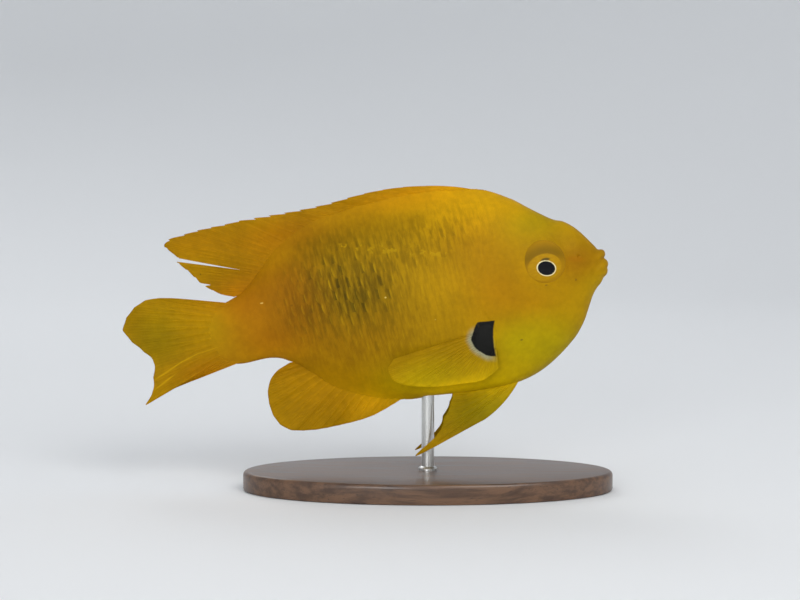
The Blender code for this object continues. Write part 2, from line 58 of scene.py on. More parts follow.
# The body without its fins: (station, height above the axis) along the back and the belly
BACK = [
    (1.2, 2.2), (1.7, 3.3), (2.6, 4.7), (4.9, 7.8), (7.3, 9.9), (9.1, 10.6), (12.4, 12.9), (16.8, 16.2),
    (21, 17.9), (27, 18.5), (33.5, 18.8), (41, 18.5), (49, 17.6), (57.5, 15.8), (66, 12.6), (74.8, 7.9),
    (78.5, 6.5), (80.5, 5.9), (82.5, 4.9), (84, 3.2)]
BELLY = [
    (1.2, -2.6), (1.5, -3.2), (2, -3.85), (3.1, -4.8), (4.2, -6.2), (5.3, -8.2), (6.6, -10.6), (8.3, -12.9),
    (10.6, -15), (13, -16.8), (17.4, -19.3), (23, -20.8), (28.4, -21), (36, -20.5), (43.5, -19.4),
    (50.4, -16.2), (58.5, -12), (66.5, -7.8), (70.5, -6.5), (78.5, -6.3), (80.5, -5.8), (82.5, -4.8),
    (84, -3.1)]

# Half the body's width, and how sharply its section narrows towards the back and the belly, by station
HALF_WIDTH = [
    (1.2, 1.3), (1.7, 1.9), (2.6, 2.5), (4.9, 3.6), (8.3, 4.8), (12.5, 6), (18, 7), (25, 7.7), (32, 7.9),
    (40, 7.5), (50, 6.2), (60, 4.6), (70, 2.9), (78, 1.5), (80.5, 0.9), (82.5, 0.42), (84, 0.2)]
BACK_PINCH = [(1.2, 0.9), (9, 0.9), (20, 1.08), (40, 1.22), (60, 1.15), (82, 1)]
BELLY_PINCH = [(1.2, 0.9), (12, 1), (28, 0.82), (45, 0.9), (60, 1.05), (82, 1)]
WIDEST_SHARE = 0.5
SNOUT, BODY_END = BACK[0][0], BACK[-1][0]
SWAY_FROM, SWAY_END, TAIL_SWAY = 42, 100, 4  # the bend to the left starts at 42 and is 4 mm at 100

# The scaly sheaths that rise along the roots of the dorsal and the anal fin
DORSAL_SHEATH = [
    (15, 0), (18.2, 0.35), (20, 0.8), (21.8, 1.2), (24, 1.5), (28, 1.9), (36, 2.6), (45, 3.2), (55, 3.8),
    (62, 3.8), (67, 2.8), (71, 1.2), (75, 0)]
ANAL_SHEATH = [(40.5, 0), (45, 1.2), (49, 2.6), (54, 3.4), (60, 3.3), (63, 2.2), (66, 0.9), (69, 0)]
SHEATH_WIDTH = 1.4

# Gill cover and cheek
GILL_LINE = [
    (15, 24), (17, 16.5), (20.6, 11.5), (24.4, 6.5), (26.9, 1.5), (27.5, -2.5), (26.6, -5.6), (25.4, -7.6),
    (26.1, -11.2), (25.9, -14.6), (22.6, -19.2), (18, -24.5)]
GILL_COVER_RISE = 0.17
CHEEK_LINE = [(19.8, 6.5), (19.6, 0.5), (18.3, -3.6), (15.4, -5.8), (11, -6), (8.2, -4.4)]
CHEEK_RISE = 0.07
COAT_DEPTH = 0.04  # of the skin below the surface that the scales lie on

# Folds of the skin: (line in the side view, depth, half width)
CREASES = [([(1.2, 0.6), (1.9, 0), (3.4, -1)], 0.2, 0.3), ([(2.6, 2), (3.6, 0.6), (4.7, -0.7)], 0.11, 0.32)]

# Eyes, as in the solids
EYE_STATION, EYE_HEIGHT = 12.9, 2.9
EYE_RADIUS, EYE_HALF_DEPTH, EYE_BULGE = 4.2, 2.6, 1
EYE_YAW, EYE_PITCH = math.radians(12), math.radians(6)
ORBIT_RADIUS, ORBIT_RIM, SOCKET_DEPTH = 3.95, 0.11, 0.8

# Mouth: (station, side, height, radius) along half of each lip, from the middle to the corner
UPPER_LIP = [(0.99, 0, 1.93, 0.99), (1.5, 0.9, 1.78, 0.84), (2.4, 1.6, 0.95, 0.6), (3.6, 2.15, -0.2, 0.3)]
LOWER_LIP = [(0.96, 0, -0.15, 1.17), (1.4, 1, -0.45, 0.98), (2.4, 1.75, -1.05, 0.7), (3.8, 2.3, -1.8, 0.3)]
CHIN = [(1.72, 0, -1.35, 1.6), (2.1, 0.9, -1.5, 1.3), (2.7, 1.65, -1.8, 0.75), (3.8, 2.2, -2.3, 0.3)]
NOSTRIL_STATION, NOSTRIL_HEIGHT, NOSTRIL_RADIUS, NOSTRIL_DEPTH = 5.9, 2.6, 0.34, 0.7
NOSTRIL_LIP = 0.17  # radius of the ring round a nostril's rim


def curve_at(points, s):
    """Value at the stations s of a smooth curve through (station, value) points."""
    x, y = np.array(points, float).T
    s = np.clip(np.asarray(s, float), x[0], x[-1])
    slope = np.gradient(y, x)
    i = np.clip(np.searchsorted(x, s, side="right") - 1, 0, len(x) - 2)
    step = x[i + 1] - x[i]
    t = (s - x[i]) / step
    return ((2 * t**3 - 3 * t**2 + 1) * y[i] + (t**3 - 2 * t**2 + t) * step * slope[i]
            + (3 * t**2 - 2 * t**3) * y[i + 1] + (t**3 - t**2) * step * slope[i + 1])


def curves_at(x, rows, at):
    """The same for each column of rows, which are given at x."""
    return np.stack([curve_at(list(zip(x, column)), at) for column in np.transpose(rows)], axis=1)


def line_through(points, count):
    """count points, evenly spaced along a smooth line through the given ones."""
    run = np.concatenate([[0], np.cumsum(np.linalg.norm(np.diff(points, axis=0), axis=1))])
    return curves_at(run, points, np.linspace(0, run[-1], count))


def stacked(*values):
    """Arrays or numbers side by side along a new last axis."""
    return np.stack(np.broadcast_arrays(*values), axis=-1)


def unit(v):
    """Vectors along the last axis, made 1 long."""
    return v / (np.linalg.norm(v, axis=-1, keepdims=True) + 1e-12)


def full_turn(count):
    return np.linspace(0, 2 * math.pi, count, endpoint=False)


def ease(t):
    """0 to 1, slow at both ends."""
    t = np.clip(t, 0, 1)
    return t * t * (3 - 2 * t)


def within(x, low, high):
    return (x > low) & (x < high)


def bell(t):
    return np.exp(-np.square(t))


def sway(s):
    """How far the body's middle plane is bent to the left at station s."""
    return TAIL_SWAY * np.clip((np.asarray(s, float) - SWAY_FROM) / (SWAY_END - SWAY_FROM), 0, None) ** 2


def place(s, side, h):
    """Points in the fish's frame, in metres."""
    return stacked(-s, side + sway(s), h) * MM


def beside(line, s, h):
    """Distance of points in the side view from a line, positive ahead of one that is drawn downwards."""
    s, h = np.broadcast_arrays(np.asarray(s, float), np.asarray(h, float))
    best = np.full(s.shape, 1e9)
    signed = np.zeros(s.shape)
    for (s0, h0), (s1, h1) in zip(line[:-1], line[1:]):
        ds, dh = s1 - s0, h1 - h0
        t = np.clip(((s - s0) * ds + (h - h0) * dh) / (ds * ds + dh * dh), 0, 1)
        away = np.hypot(s - s0 - t * ds, h - h0 - t * dh)
        turn = ds * (h - h0) - dh * (s - s0)
        signed = np.where(away < best, -np.sign(turn) * away, signed)
        best = np.minimum(best, away)
    return signed


def ahead_of(line, s, h):
    """Distance of points in the side view from a smooth line drawn downwards, positive towards the snout."""
    return beside(line_through(line, 60), s, h)


def section(s):
    """Heights of the section at a station: its top, its bottom and where it is widest."""
    top, bottom = curve_at(BACK, s), curve_at(BELLY, s)
    return top, bottom, bottom + WIDEST_SHARE * (top - bottom)


def flank(s, h):
    """Half the body's width at a station and a height."""
    top, bottom, widest = section(s)
    share = (h - widest) / np.where(h >= widest, top - widest, widest - bottom)
    pinch = np.where(h >= widest, curve_at(BACK_PINCH, s), curve_at(BELLY_PINCH, s))
    return curve_at(HALF_WIDTH, s) * np.clip(1 - share**2, 0, 1) ** (pinch / 2)


def relief(s, h):
    """How far the head's bones, gill cover and eye sockets stand out of the smooth body or sink into it."""
    opening = ease((11 - h) / 5) * ease((h + 15.5) / 3)
    reach = ease((s - 8.5) / 3) * ease((8 - h) / 4)
    out = 0
    # An edge that stands out, flattens forwards over a run and has a groove behind it
    edges = ((GILL_LINE, opening, GILL_COVER_RISE, 6, 0.3, 0.08, 0.45),
             (CHEEK_LINE, reach, CHEEK_RISE, 2.5, 0.5, 0.05, 0.4))
    for line, part, rise, run, edge, groove, behind in edges:
        ahead = ahead_of(line, s, h)
        out += rise * part * np.where(ahead > 0, np.exp(-np.clip(ahead, 0, 30) / run) * ease(ahead / edge), 0)
        out -= groove * part * bell((ahead + behind) / 0.5)
    for line, deep, wide in CREASES:
        out -= deep * bell(beside(line, s, h) / wide)
    eye = np.hypot(s - EYE_STATION, h - EYE_HEIGHT)
    out += ORBIT_RIM * bell((eye - ORBIT_RADIUS - 0.25) / 0.5)
    out -= SOCKET_DEPTH * ease((ORBIT_RADIUS - eye) / 0.3)
    nostril = np.hypot(s - NOSTRIL_STATION, h - NOSTRIL_HEIGHT)
    return out - NOSTRIL_DEPTH * ease((NOSTRIL_RADIUS - nostril) / 0.25)


def rings(stations, angles, grow=0, carved=True):
    """Side and height of the body's surface, (stations, angles), each angle measured from the back."""
    s, a = np.meshgrid(stations, angles, indexing="ij")
    top, bottom, widest = section(s)
    up = np.cos(a) >= 0
    h = widest + np.cos(a) * np.where(up, top - widest, widest - bottom)
    pinch = np.where(up, curve_at(BACK_PINCH, s), curve_at(BELLY_PINCH, s))
    side = curve_at(HALF_WIDTH, s) * np.sign(np.sin(a)) * np.abs(np.sin(a)) ** pinch
    sheath = np.where(up, curve_at(DORSAL_SHEATH, s), -curve_at(ANAL_SHEATH, s))
    h = h + sheath * np.exp(-np.abs(side) / SHEATH_WIDTH)
    across, upwards = np.gradient(side, axis=1), np.gradient(h, axis=1)
    length = np.hypot(across, upwards) + 1e-9
    out = grow + (relief(s, h) * ease(np.abs(side) / 1.5) if carved else 0)
    return side - out * upwards / length, h + out * across / length


# Meshes


def mesh_from(name, points, faces, outwards=True):
    """A mesh from points and a list of face arrays, each (count, corners)."""
    corners = np.concatenate([f.ravel() for f in faces]).astype(np.int32)
    sizes = np.concatenate([np.full(len(f), f.shape[1]) for f in faces])
    mesh = bpy.data.meshes.new(name)
    mesh.vertices.add(len(points))
    mesh.vertices.foreach_set("co", np.asarray(points, np.float32).ravel())
    mesh.loops.add(len(corners))
    mesh.loops.foreach_set("vertex_index", corners)
    mesh.polygons.add(len(sizes))
    mesh.polygons.foreach_set("loop_start", (np.cumsum(sizes) - sizes).astype(np.int32))
    mesh.update(calc_edges=True)
    if outwards:
        shell = bmesh.new()
        shell.from_mesh(mesh)
        bmesh.ops.recalc_face_normals(shell, faces=shell.faces)
        shell.to_mesh(mesh)
        shell.free()
    mesh.shade_smooth()
    return mesh


def set_attributes(mesh, **values):
    """Numbers kept at a mesh's points, for its material."""
    for name, value in values.items():
        made = mesh.attributes.new(name, "FLOAT", "POINT")
        made.data.foreach_set("value", np.asarray(value, np.float32).ravel())


def new_object(name, data):
    item = bpy.data.objects.new(name, data)
    bpy.context.scene.collection.objects.link(item)
    return item


def add_piece(name, mesh, look, nodes=(), matrix=POSE):
    """An object that rides on the body and, where nodes are named, stands for them."""
    piece = new_object(name, mesh)
    piece.matrix_world = matrix
    piece.data.materials.append(look)
    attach(piece, "root")
    if nodes:
        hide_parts(*nodes)


def grid_faces(rows, columns, wrap=False):
    """Quads of a grid of points stored row by row."""
    r, c = np.meshgrid(np.arange(rows - 1), np.arange(columns if wrap else columns - 1), indexing="ij")
    r, c = r.ravel() * columns, c.ravel()
    d = (c + 1) % columns
    return np.c_[r + c, r + d, r + columns + d, r + columns + c]


def capped_faces(rows, around):
    """Faces of a tube of rings, closed by a fan at each end to one of the two points that come last."""
    first = np.arange(around)
    last = (rows - 1) * around + first
    return [grid_faces(rows, around, wrap=True),
            np.c_[np.roll(first, -1), first, np.full(around, rows * around)],
            np.c_[last, np.roll(last, -1), np.full(around, rows * around + 1)]]


def lidded_faces(rows, around):
    """Faces of a tube of rings, closed by one flat face at each end."""
    ring = np.arange(around)[None]
    return [grid_faces(rows, around, wrap=True), ring[:, ::-1], (rows - 1) * around + ring]


def tube_points(path, radii, sides, closed=False):
    """Points and faces of a tube through points in millimetres, with blunt ends unless closed."""
    along = np.roll(path, -1, axis=0) - np.roll(path, 1, axis=0) if closed else np.gradient(path, axis=0)
    along = unit(along)
    side = unit(np.cross(along, (0, 0.3, 1)))
    over = np.cross(side, along)
    turn = full_turn(sides)[:, None]
    ring = np.cos(turn) * side[:, None] + np.sin(turn) * over[:, None]
    points = (path[:, None] + ring * radii[:, None, None]).reshape(-1, 3)
    if closed:
        last, first = len(points) - sides + np.arange(sides), np.arange(sides)
        seam = np.c_[last, np.roll(last, -1), np.roll(first, -1), first]
        return points * MM, [grid_faces(len(path), sides, wrap=True), seam]
    ends = [path[:1] - along[:1] * radii[0] * 0.7, path[-1:] + along[-1:] * radii[-1] * 0.7]
    return np.concatenate([points, *ends]) * MM, capped_faces(len(path), sides)


# Materials


class Nodes:
    """Builds a material's nodes, each call returning an output socket."""

    def __init__(self, name):
        self.material = bpy.data.materials.new(name)
        self.material.use_nodes = True
        self.tree = self.material.node_tree
        self.shader = self.tree.nodes["Principled BSDF"]

    def node(self, kind, inputs=(), **settings):
        made = self.tree.nodes.new("ShaderNode" + kind)
        for key, value in settings.items():
            setattr(made, key, value)
        for key, value in dict(inputs).items():
            self.put(made.inputs[key], value)
        return made

    def put(self, socket, value):
        if isinstance(value, bpy.types.NodeSocket):
            self.tree.links.new(value, socket)
        else:
            socket.default_value = value

    def attribute(self, name):
        return self.node("Attribute", attribute_name=name).outputs["Fac"]

    def coordinates(self):
        return self.node("TexCoord").outputs["Object"]

    def noise(self, scale, detail=3, size=None, lean=0, roughness=0.5, where=None):
        """Noise in the piece's own frame, scale in features per metre; lean tilts its top backwards."""
        where = self.coordinates() if where is None else where
        if size:
            where = self.node("Mapping", {"Vector": where, "Rotation": (0, -lean, 0), "Scale": size},
                              vector_type="TEXTURE").outputs[0]
        return self.node("TexNoise", {"Vector": where, "Scale": scale, "Detail": detail,
                                      "Roughness": roughness}).outputs["Fac"]

    def math(self, operation, a, b=0, c=0):
        made = self.node("Math", operation=operation)
        for socket, value in zip(made.inputs, (a, b, c)):
            self.put(socket, value)
        return made.outputs[0]

    def times(self, *factors):
        out = factors[0]
        for factor in factors[1:]:
            out = self.math("MULTIPLY", out, factor)
        return out

    def plus(self, a, b):
        return self.math("ADD", a, b)

    def times_plus(self, a, b, c):
        return self.math("MULTIPLY_ADD", a, b, c)

    def vector(self, operation, a, b):
        inputs = {0: a, "Scale" if operation == "SCALE" else 1: b}
        return self.node("VectorMath", inputs, operation=operation).outputs[0]

    def span(self, value, low, high, out_low=0, out_high=1):
        """A value's place between low and high, smoothed and moved to the range given."""
        return self.node("MapRange", {"Value": value, "From Min": low, "From Max": high, "To Min": out_low,
                                      "To Max": out_high}, interpolation_type="SMOOTHSTEP").outputs[0]

    def mix(self, share, a, b):
        made = self.node("Mix", data_type="RGBA")
        for k, value in ((0, share), (6, a), (7, b)):
            self.put(made.inputs[k], (*value, 1) if isinstance(value, tuple) else value)
        return made.outputs[2]

    def side_view(self):
        """Station and height in millimetres."""
        parts = self.node("SeparateXYZ", {0: self.coordinates()}).outputs
        return self.times(parts[0], -1 / MM), self.times(parts[2], 1 / MM)

    def inside(self, outline, rounding):
        """How far a point is inside a convex outline in the side view, in millimetres."""
        s, h = self.side_view()
        middle = np.mean(outline, axis=0)
        depth = None
        for start, end in zip(outline, outline[1:] + outline[:1]):
            normal = np.array([start[1] - end[1], end[0] - start[0]])
            normal = unit(normal) * np.sign(normal @ (middle - start))
            part = self.times_plus(h, normal[1], -float(normal @ np.array(start)))
            part = self.times_plus(s, normal[0], part)
            depth = part if depth is None else self.math("SMOOTH_MIN", depth, part, rounding)
        return depth

    def oval(self, at, half, tilt=0):
        """1 on the rim of an oval in the side view, less inside; tilt turns its rear end upwards."""
        s, h = self.side_view()
        s, h = self.plus(s, -at[0]), self.plus(h, -at[1])
        cos, sin = math.cos(tilt), math.sin(tilt)
        along = self.times_plus(s, cos / half[0], self.times(h, sin / half[0]))
        over = self.times_plus(h, cos / half[1], self.times(s, -sin / half[1]))
        return self.math("SQRT", self.times_plus(along, along, self.times(over, over)))

    def bump(self, height, distance, strength=1, normal=None):
        given = {"Height": height, "Distance": distance, "Strength": strength}
        return self.node("Bump", {**given, "Normal": normal} if normal else given).outputs[0]

    def finish(self, colour, roughness, specular, **others):
        values = {"Base Color": colour, "Roughness": roughness, "Specular IOR Level": specular, **others}
        for key, value in values.items():
            self.put(self.shader.inputs[key.replace("_", " ")], value)
        return self.material


GOLD = (0.396, 0.216, 0.001)
AMBER = (0.376, 0.138, 0.0008)
LEMON = (0.38, 0.28, 0.001)
OLIVE = (0.095, 0.06, 0.001)
SPOT_BLACK = (0.01, 0.01, 0.009)
SPOT_EDGE = (0.32, 0.35, 0.25)
# Pale colour of the scales' free edges, partly a pale margin and partly a painted highlight, and of the
# lateral line's pores
PALE_MARK_AND_HIGHLIGHT = (0.5, 0.3, 0.003)
FISH_SHINE = 0.06

# Soft patches of colour: (station, height, half length, half height, strength)
PATCHES = {
    "amber": [
        (74, 6, 9, 6, 0.9), (64, 18, 12, 4, 0.6), (40, 21, 16, 3.5, 0.4), (70, -2, 9, 6.5, 0.85),
        (59, -17, 13, 6, 0.22), (23, -1, 7, 6.5, 0.4), (64, 6, 7, 9, 0.75), (56, -6, 12, 7, 0.35),
        (26, 9, 7, 6, 0.25), (6, 1.5, 5, 3.5, 0.55), (85, -6.5, 8, 3, 0.6), (82, 20, 9, 4, 0.3),
        (17.5, -5.5, 6, 3, 0.35), (67, 8, 7, 5, 0.4)],
    "lemon": [
        (15, -14.5, 8.5, 6, 1), (21, -12, 6, 4.5, 0.9), (13, 11, 6, 3, 0.55), (26, -18.5, 10, 3.5, 0.5),
        (94, 2, 6, 6, 0.45), (41, -15.5, 10, 4.5, 0.75), (30, -25, 11, 5, 0.95), (3, -4.5, 3.5, 4, 0.3),
        (82, 2.5, 4, 4, 0.22)],
    "dusk": [
        (56.5, 8, 9.5, 8.5, 0.55), (51, 3, 8, 6, 0.74), (43, 11, 9, 5, 0.28), (60, -2, 8, 6, 0.28),
        (46, -6, 12, 7, 0.15), (11.8, 6.2, 3.2, 1.5, 0.2), (96.5, 2, 4, 5, 0.22)],
    # Lighter and darker patches of tone. The strong lighter ones along the belly, under the pectoral fin and
    # along the anal fin's root are painted light on undersides and creases that lie in shade. The two on the
    # back behind the head paint the light that falls from above
    "bright": [
        (21, 16.5, 9, 4.5, 0.66), (32, 20.5, 11, 3.2, 0.85), (66, 1, 10, 9, -0.22), (48, -19.5, 7, 4.5, 1.35),
        (26, -19.5, 10, 4.5, 0.66), (4, 1, 5, 5, -0.36), (46, 4, 9, 9, -0.24), (55, 15, 8, 3.5, -0.46),
        (41, 15.5, 7, 3, -0.36), (67, -6, 6, 3, 0.35), (54, -14, 9, 2.5, 0.25), (93, 1, 8, 8, -0.26),
        (82, 2, 4, 4, 0.22), (32, -24.5, 10, 6, -0.55), (42, -29.5, 4, 3, 0.25), (78, 12, 5, 4, -0.25),
        (12, 11, 5, 3, -0.25), (30, 7, 7, 6, -0.14), (36.5, -19, 9.5, 1.7, 2.5), (47, -6, 10, 5, -0.16),
        (61, -9, 8, 4, -0.06), (64, 4, 7, 7, -0.16), (51, -19, 4, 2.5, 0.35), (76, 9, 3, 3, 0.16)],
}

# Small patches that set how strongly the flank's scale-by-scale streaks show, with their painted shade at the
# roots and painted highlights on the free edges, as above
DASH_PATCHES = [
    (51.5, 3.8, 9, 6.5, 0.85), (57, 8.5, 9, 8, 0.4), (44, 10.5, 11, 6, 0.48), (30, 13, 9, 5, 0.36),
    (47, -7, 14, 8, 0.28), (61, -1, 8, 7, 0.26), (34, 3, 9, 9, 0.16)]

SPOT = [(28.6, -6.4), (24.2, -6.8), (24.6, -14.3), (27.9, -13.4), (29.9, -11.6), (30.5, -9.7), (29.6, -7.8)]
SPOT_FRONT_AT, SPOT_FRONT_HALF = (14, -12.5), (12.15, 14)  # the spot ends at the gill cover's curve

# The line of pores along the flank
LATERAL_LINE = [(30, 7.6), (33.3, 8.5), (41, 10.7), (47, 11.9), (52.8, 13.6), (57, 13.8)]

# Small marks: (station, height, half length, half height, tilt, colour, strength)
MARKS = [
    (20.4, -11.7, 0.3, 0.18, 0, (0.1, 0.07, 0.01), 0.7),
    (7.3, -2, 0.16, 0.24, 0.3, (0.12, 0.06, 0.01), 0.6),
    (13.5, -1.8, 0.28, 0.16, 0, (0.12, 0.07, 0.01), 0.6),
    (6.6, 2.1, 1.7, 0.6, 0.25, (0.32, 0.12, 0.001), 0.5),
    (45.7, 1.9, 0.19, 0.15, 0, (0.75, 0.6, 0.15), 0.6),
    (70.8, 5.2, 0.32, 0.13, 0, (0.8, 0.6, 0.15), 0.6),
    (36.7, -4.3, 0.14, 0.11, 0, (0.7, 0.5, 0.1), 0.4),
    (62.6, 8.3, 0.2, 0.28, 0, (0.1, 0.05, 0.003), 0.4),
    (64.8, 3.7, 0.24, 0.2, 0, (0.1, 0.05, 0.003), 0.4),
    (82.3, 13.2, 0.14, 0.16, 0, (0.05, 0.03, 0.003), 0.6),
    (92.9, -5.2, 3.2, 0.18, -0.4, (0.62, 0.38, 0.004), 0.5),
    (88.2, -3.4, 2.6, 0.16, -0.3, (0.62, 0.38, 0.004), 0.4),
    (84, -2.5, 2.4, 0.14, -0.14, (0.62, 0.38, 0.004), 0.3),
    (94, -7.3, 2.7, 0.18, -0.47, (0.62, 0.38, 0.004), 0.5)]


def patches(spots, s, h):
    """Strength of a set of soft patches, 0 to 1."""
    rest = np.ones(np.shape(s))
    for s0, h0, length, tall, strength in spots:
        rest = rest * (1 - strength * np.exp(-((s - s0) / length) ** 2 - ((h - h0) / tall) ** 2))
    return 1 - rest


def set_markings(mesh, s, h):
    """The same markings for skin, scales and fins, as attributes of their points."""
    set_attributes(mesh, **{name: patches(spots, s, h) for name, spots in PATCHES.items()})


def fish_colour(n, extra_dusk_and_shade=None):
    """The fish's yellow with its warmer, greener and darker patches and the black spot, and lighter patches
    that are partly painted light.
    """
    cloud = n.noise(130, 4)
    fine = n.noise(900, 3, roughness=0.6)
    colour = n.mix(n.attribute("amber"), GOLD, AMBER)
    colour = n.mix(n.attribute("lemon"), colour, LEMON)
    dusk = n.times(n.attribute("dusk"), n.span(cloud, 0.3, 0.7, 0.55, 0.95))
    if extra_dusk_and_shade is not None:
        dusk = n.plus(dusk, extra_dusk_and_shade)
    colour = n.mix(n.math("MINIMUM", dusk, 0.95), colour, OLIVE)
    # The bright patches add painted light where the body lies in shade, besides the fish's own lighter and
    # darker tone
    tone = n.plus(n.times(n.attribute("bright"), 0.5), n.span(cloud, 0.3, 0.7, 0.88, 1.05))
    tone = n.times(tone, n.span(fine, 0.3, 0.7, 0.93, 1.05))
    shade = n.vector("SCALE", colour, tone)
    for s, h, long, tall, tilt, tint, strength in MARKS:
        inner = n.span(n.oval((s, h), (long, tall), tilt), 1.5, 0.5)
        shade = n.mix(n.times(inner, strength), shade, tint)
    front = n.times_plus(n.oval(SPOT_FRONT_AT, SPOT_FRONT_HALF), SPOT_FRONT_HALF[0], -SPOT_FRONT_HALF[0])
    spot = n.math("SMOOTH_MIN", n.inside(SPOT, 0.5), front, 0.25)
    spot = n.plus(spot, n.span(fine, 0.2, 0.8, -0.07, 0.07))
    s, h = n.side_view()
    rim = n.times(n.span(s, 25.6, 28), n.span(h, -6.6, -9), n.span(spot, -1.4, -0.1), 0.75)
    shade = n.mix(rim, shade, SPOT_EDGE)
    return n.mix(n.span(spot, -0.14, 0.14), shade, SPOT_BLACK)


def skin_material():
    n = Nodes("damselfish_skin")
    pores = n.noise(2600, 2)
    grain = n.noise(700, 4, roughness=0.6)
    normal = n.bump(pores, 0.00003, 0.5, n.bump(grain, 0.0001, 0.5))
    return n.finish(fish_colour(n), n.span(grain, 0.3, 0.7, 0.46, 0.58), FISH_SHINE, Normal=normal)


def scale_material():
    """Scales: on the flank a dusky root, partly pigment and partly painted shade, and a bright free edge,
    partly pale and partly a painted highlight, as upright streaks.
    """
    n = Nodes("damselfish_scales")
    edge, across, chance, dash, pore = map(n.attribute, ("edge", "across", "chance", "dash", "pore"))
    over = n.math("ABSOLUTE", across)
    upright = n.noise(420, 3, (0.38, 1, 1.4), 0.03)
    bent = n.times_plus(upright, 0.5, n.plus(edge, -0.25))
    # Dusky scale roots: partly pigment, partly painted shade under the edge of the scale in front
    root = n.times(n.span(bent, 0.62, 0.86), n.span(over, 1.9, 0.7), dash, n.span(chance, 0, 1, 0.35, 1),
                   n.span(upright, 0.35, 0.65, 0.55, 1), 0.5)
    rings_wave = n.math("SINE", n.times(edge, 42))
    streaks = n.math("SINE", n.times(across, 34))
    fine = n.noise(2400, 2)
    waves = n.plus(n.times(rings_wave, 0.5), n.times(streaks, 0.35))
    normal = n.bump(n.plus(waves, fine), 0.00002, 0.6)
    # Bright free edges: partly a pale margin, partly a painted highlight
    free = n.times(n.span(edge, 0.26, 0.1), n.span(upright, 0.4, 0.6, 0.08, 0.42), n.span(over, 1.6, 0.6))
    base = n.mix(n.times(free, dash), fish_colour(n, root), PALE_MARK_AND_HIGHLIGHT)
    thin = n.noise(700, 2, (0.42, 1, 2.6), 0.03)
    thin = n.times(n.plus(n.span(thin, 0.35, 0.65), -0.5), dash, 0.68)
    base = n.vector("SCALE", base, n.plus(thin, 1))
    base = n.mix(n.times(n.span(n.noise(800, 2), 0.55, 0.63), pore, 0.5), base, PALE_MARK_AND_HIGHLIGHT)
    return n.finish(base, n.span(fine, 0.3, 0.7, 0.44, 0.56), FISH_SHINE, Normal=normal)


def fin_material():
    """Fins: rays lighter than the thin membrane between them, and some light coming through; the whole fin is
    painted lighter than the body to make up for the light it gets.
    """
    n = Nodes("damselfish_fin")
    ray = n.attribute("ray")
    # Painted light: the fin is 16 to 26 per cent lighter than the body's colour, the rays the most, and
    # lighter still near its root
    tone = n.times(n.span(ray, 0.15, 0.85, 1.16, 1.26), n.attribute("tone"))
    colour = n.vector("SCALE", fish_colour(n), tone)
    joints = n.math("SINE", n.times(n.attribute("along"), 6.283 / 0.55))
    joints = n.times(n.span(joints, -1, -0.6), ray)
    grain = n.noise(1400, 3)
    normal = n.bump(joints, 0.00004, 0.7, n.bump(grain, 0.00003, 0.6))
    n.finish(colour, 0.5, FISH_SHINE, Normal=normal)
    through = n.node("BsdfTranslucent", {"Color": colour, "Normal": normal})
    both = n.node("MixShader", {0: 0.3, 1: n.shader.outputs[0], 2: through.outputs[0]})
    n.put(n.tree.nodes["Material Output"].inputs["Surface"], both.outputs[0])
    return n.material


# Skin
VOXEL, SMOOTHING = 0.21, 5


def make_skin(look):
    """One skin from the snout to the tail's root, with lips, nostrils, eye sockets and the pectoral pads."""
    stations = np.concatenate([np.linspace(SNOUT, 30, 140), np.linspace(30.3, BODY_END, 150)])
    around = 168
    angles = full_turn(around)
    doubled = np.concatenate([angles[-2:] - 2 * math.pi, angles, angles[:2] + 2 * math.pi])
    under_scales = COAT_DEPTH * ease((stations - 5) / 3)
    side, h = rings(stations, doubled, -under_scales[:, None])
    side, h = side[:, 2:-2], h[:, 2:-2]
    body = place(stations[:, None], side, h).reshape(-1, 3)
    ends = [place(stations[0] - 0.25, 0, h[0].mean()), place(stations[-1] + 0.3, 0, h[-1].mean())]
    shapes = [(np.concatenate([body, ends]), capped_faces(len(stations), around))]
    for half_line in (UPPER_LIP, LOWER_LIP, CHIN):
        half = line_through(half_line, 14)
        line = np.concatenate([half[:0:-1] * (1, -1, 1, 1), half])
        shapes.append(tube_points(line[:, :3] * (-1, 1, 1), line[:, 3], 20))
    turn = full_turn(24)
    for side in (RIGHT, LEFT):
        at_s = NOSTRIL_STATION + (NOSTRIL_RADIUS + 0.16) * np.cos(turn)
        at_h = NOSTRIL_HEIGHT + (NOSTRIL_RADIUS + 0.16) * np.sin(turn)
        path = np.c_[-at_s, side * (flank(at_s, at_h) - 0.02), at_h]
        lip = tube_points(path, np.full(len(turn), NOSTRIL_LIP), 10, closed=True)
        shapes += [lip, pectoral_pad(side)]
    points, faces = [], []
    for some_points, some_faces in shapes:
        faces += [f + sum(map(len, points)) for f in some_faces]
        points.append(some_points)

    joined = new_object("joined", mesh_from("skin", np.concatenate(points), faces))
    remesh = joined.modifiers.new("remesh", "REMESH")
    remesh.mode = "VOXEL"
    remesh.voxel_size = VOXEL * MM
    smooth = joined.modifiers.new("smooth", "SMOOTH")
    smooth.iterations = SMOOTHING
    bpy.context.view_layer.update()
    mesh = bpy.data.meshes.new_from_object(joined.evaluated_get(bpy.context.evaluated_depsgraph_get()))
    bpy.data.objects.remove(joined)
    mesh.shade_smooth()
    at = np.empty(len(mesh.vertices) * 3, np.float32)
    mesh.vertices.foreach_get("co", at)
    at = at.reshape(-1, 3) / MM
    set_markings(mesh, -at[:, 0], at[:, 2])
    add_piece("skin", mesh, look, ("head", "trunk", "tail_stem"))


# The fleshy pad that carries each pectoral fin
PAD_RADII = (2.5, 1.15, 3.7)
PAD_STATION, PAD_HEIGHT = 27.8, -10.4
PAD_LEAN = math.radians(12)
PECTORAL_LIFT = math.tan(math.radians(5))


def pectoral_start():
    return float(flank(PAD_STATION, PAD_HEIGHT)) + 0.15


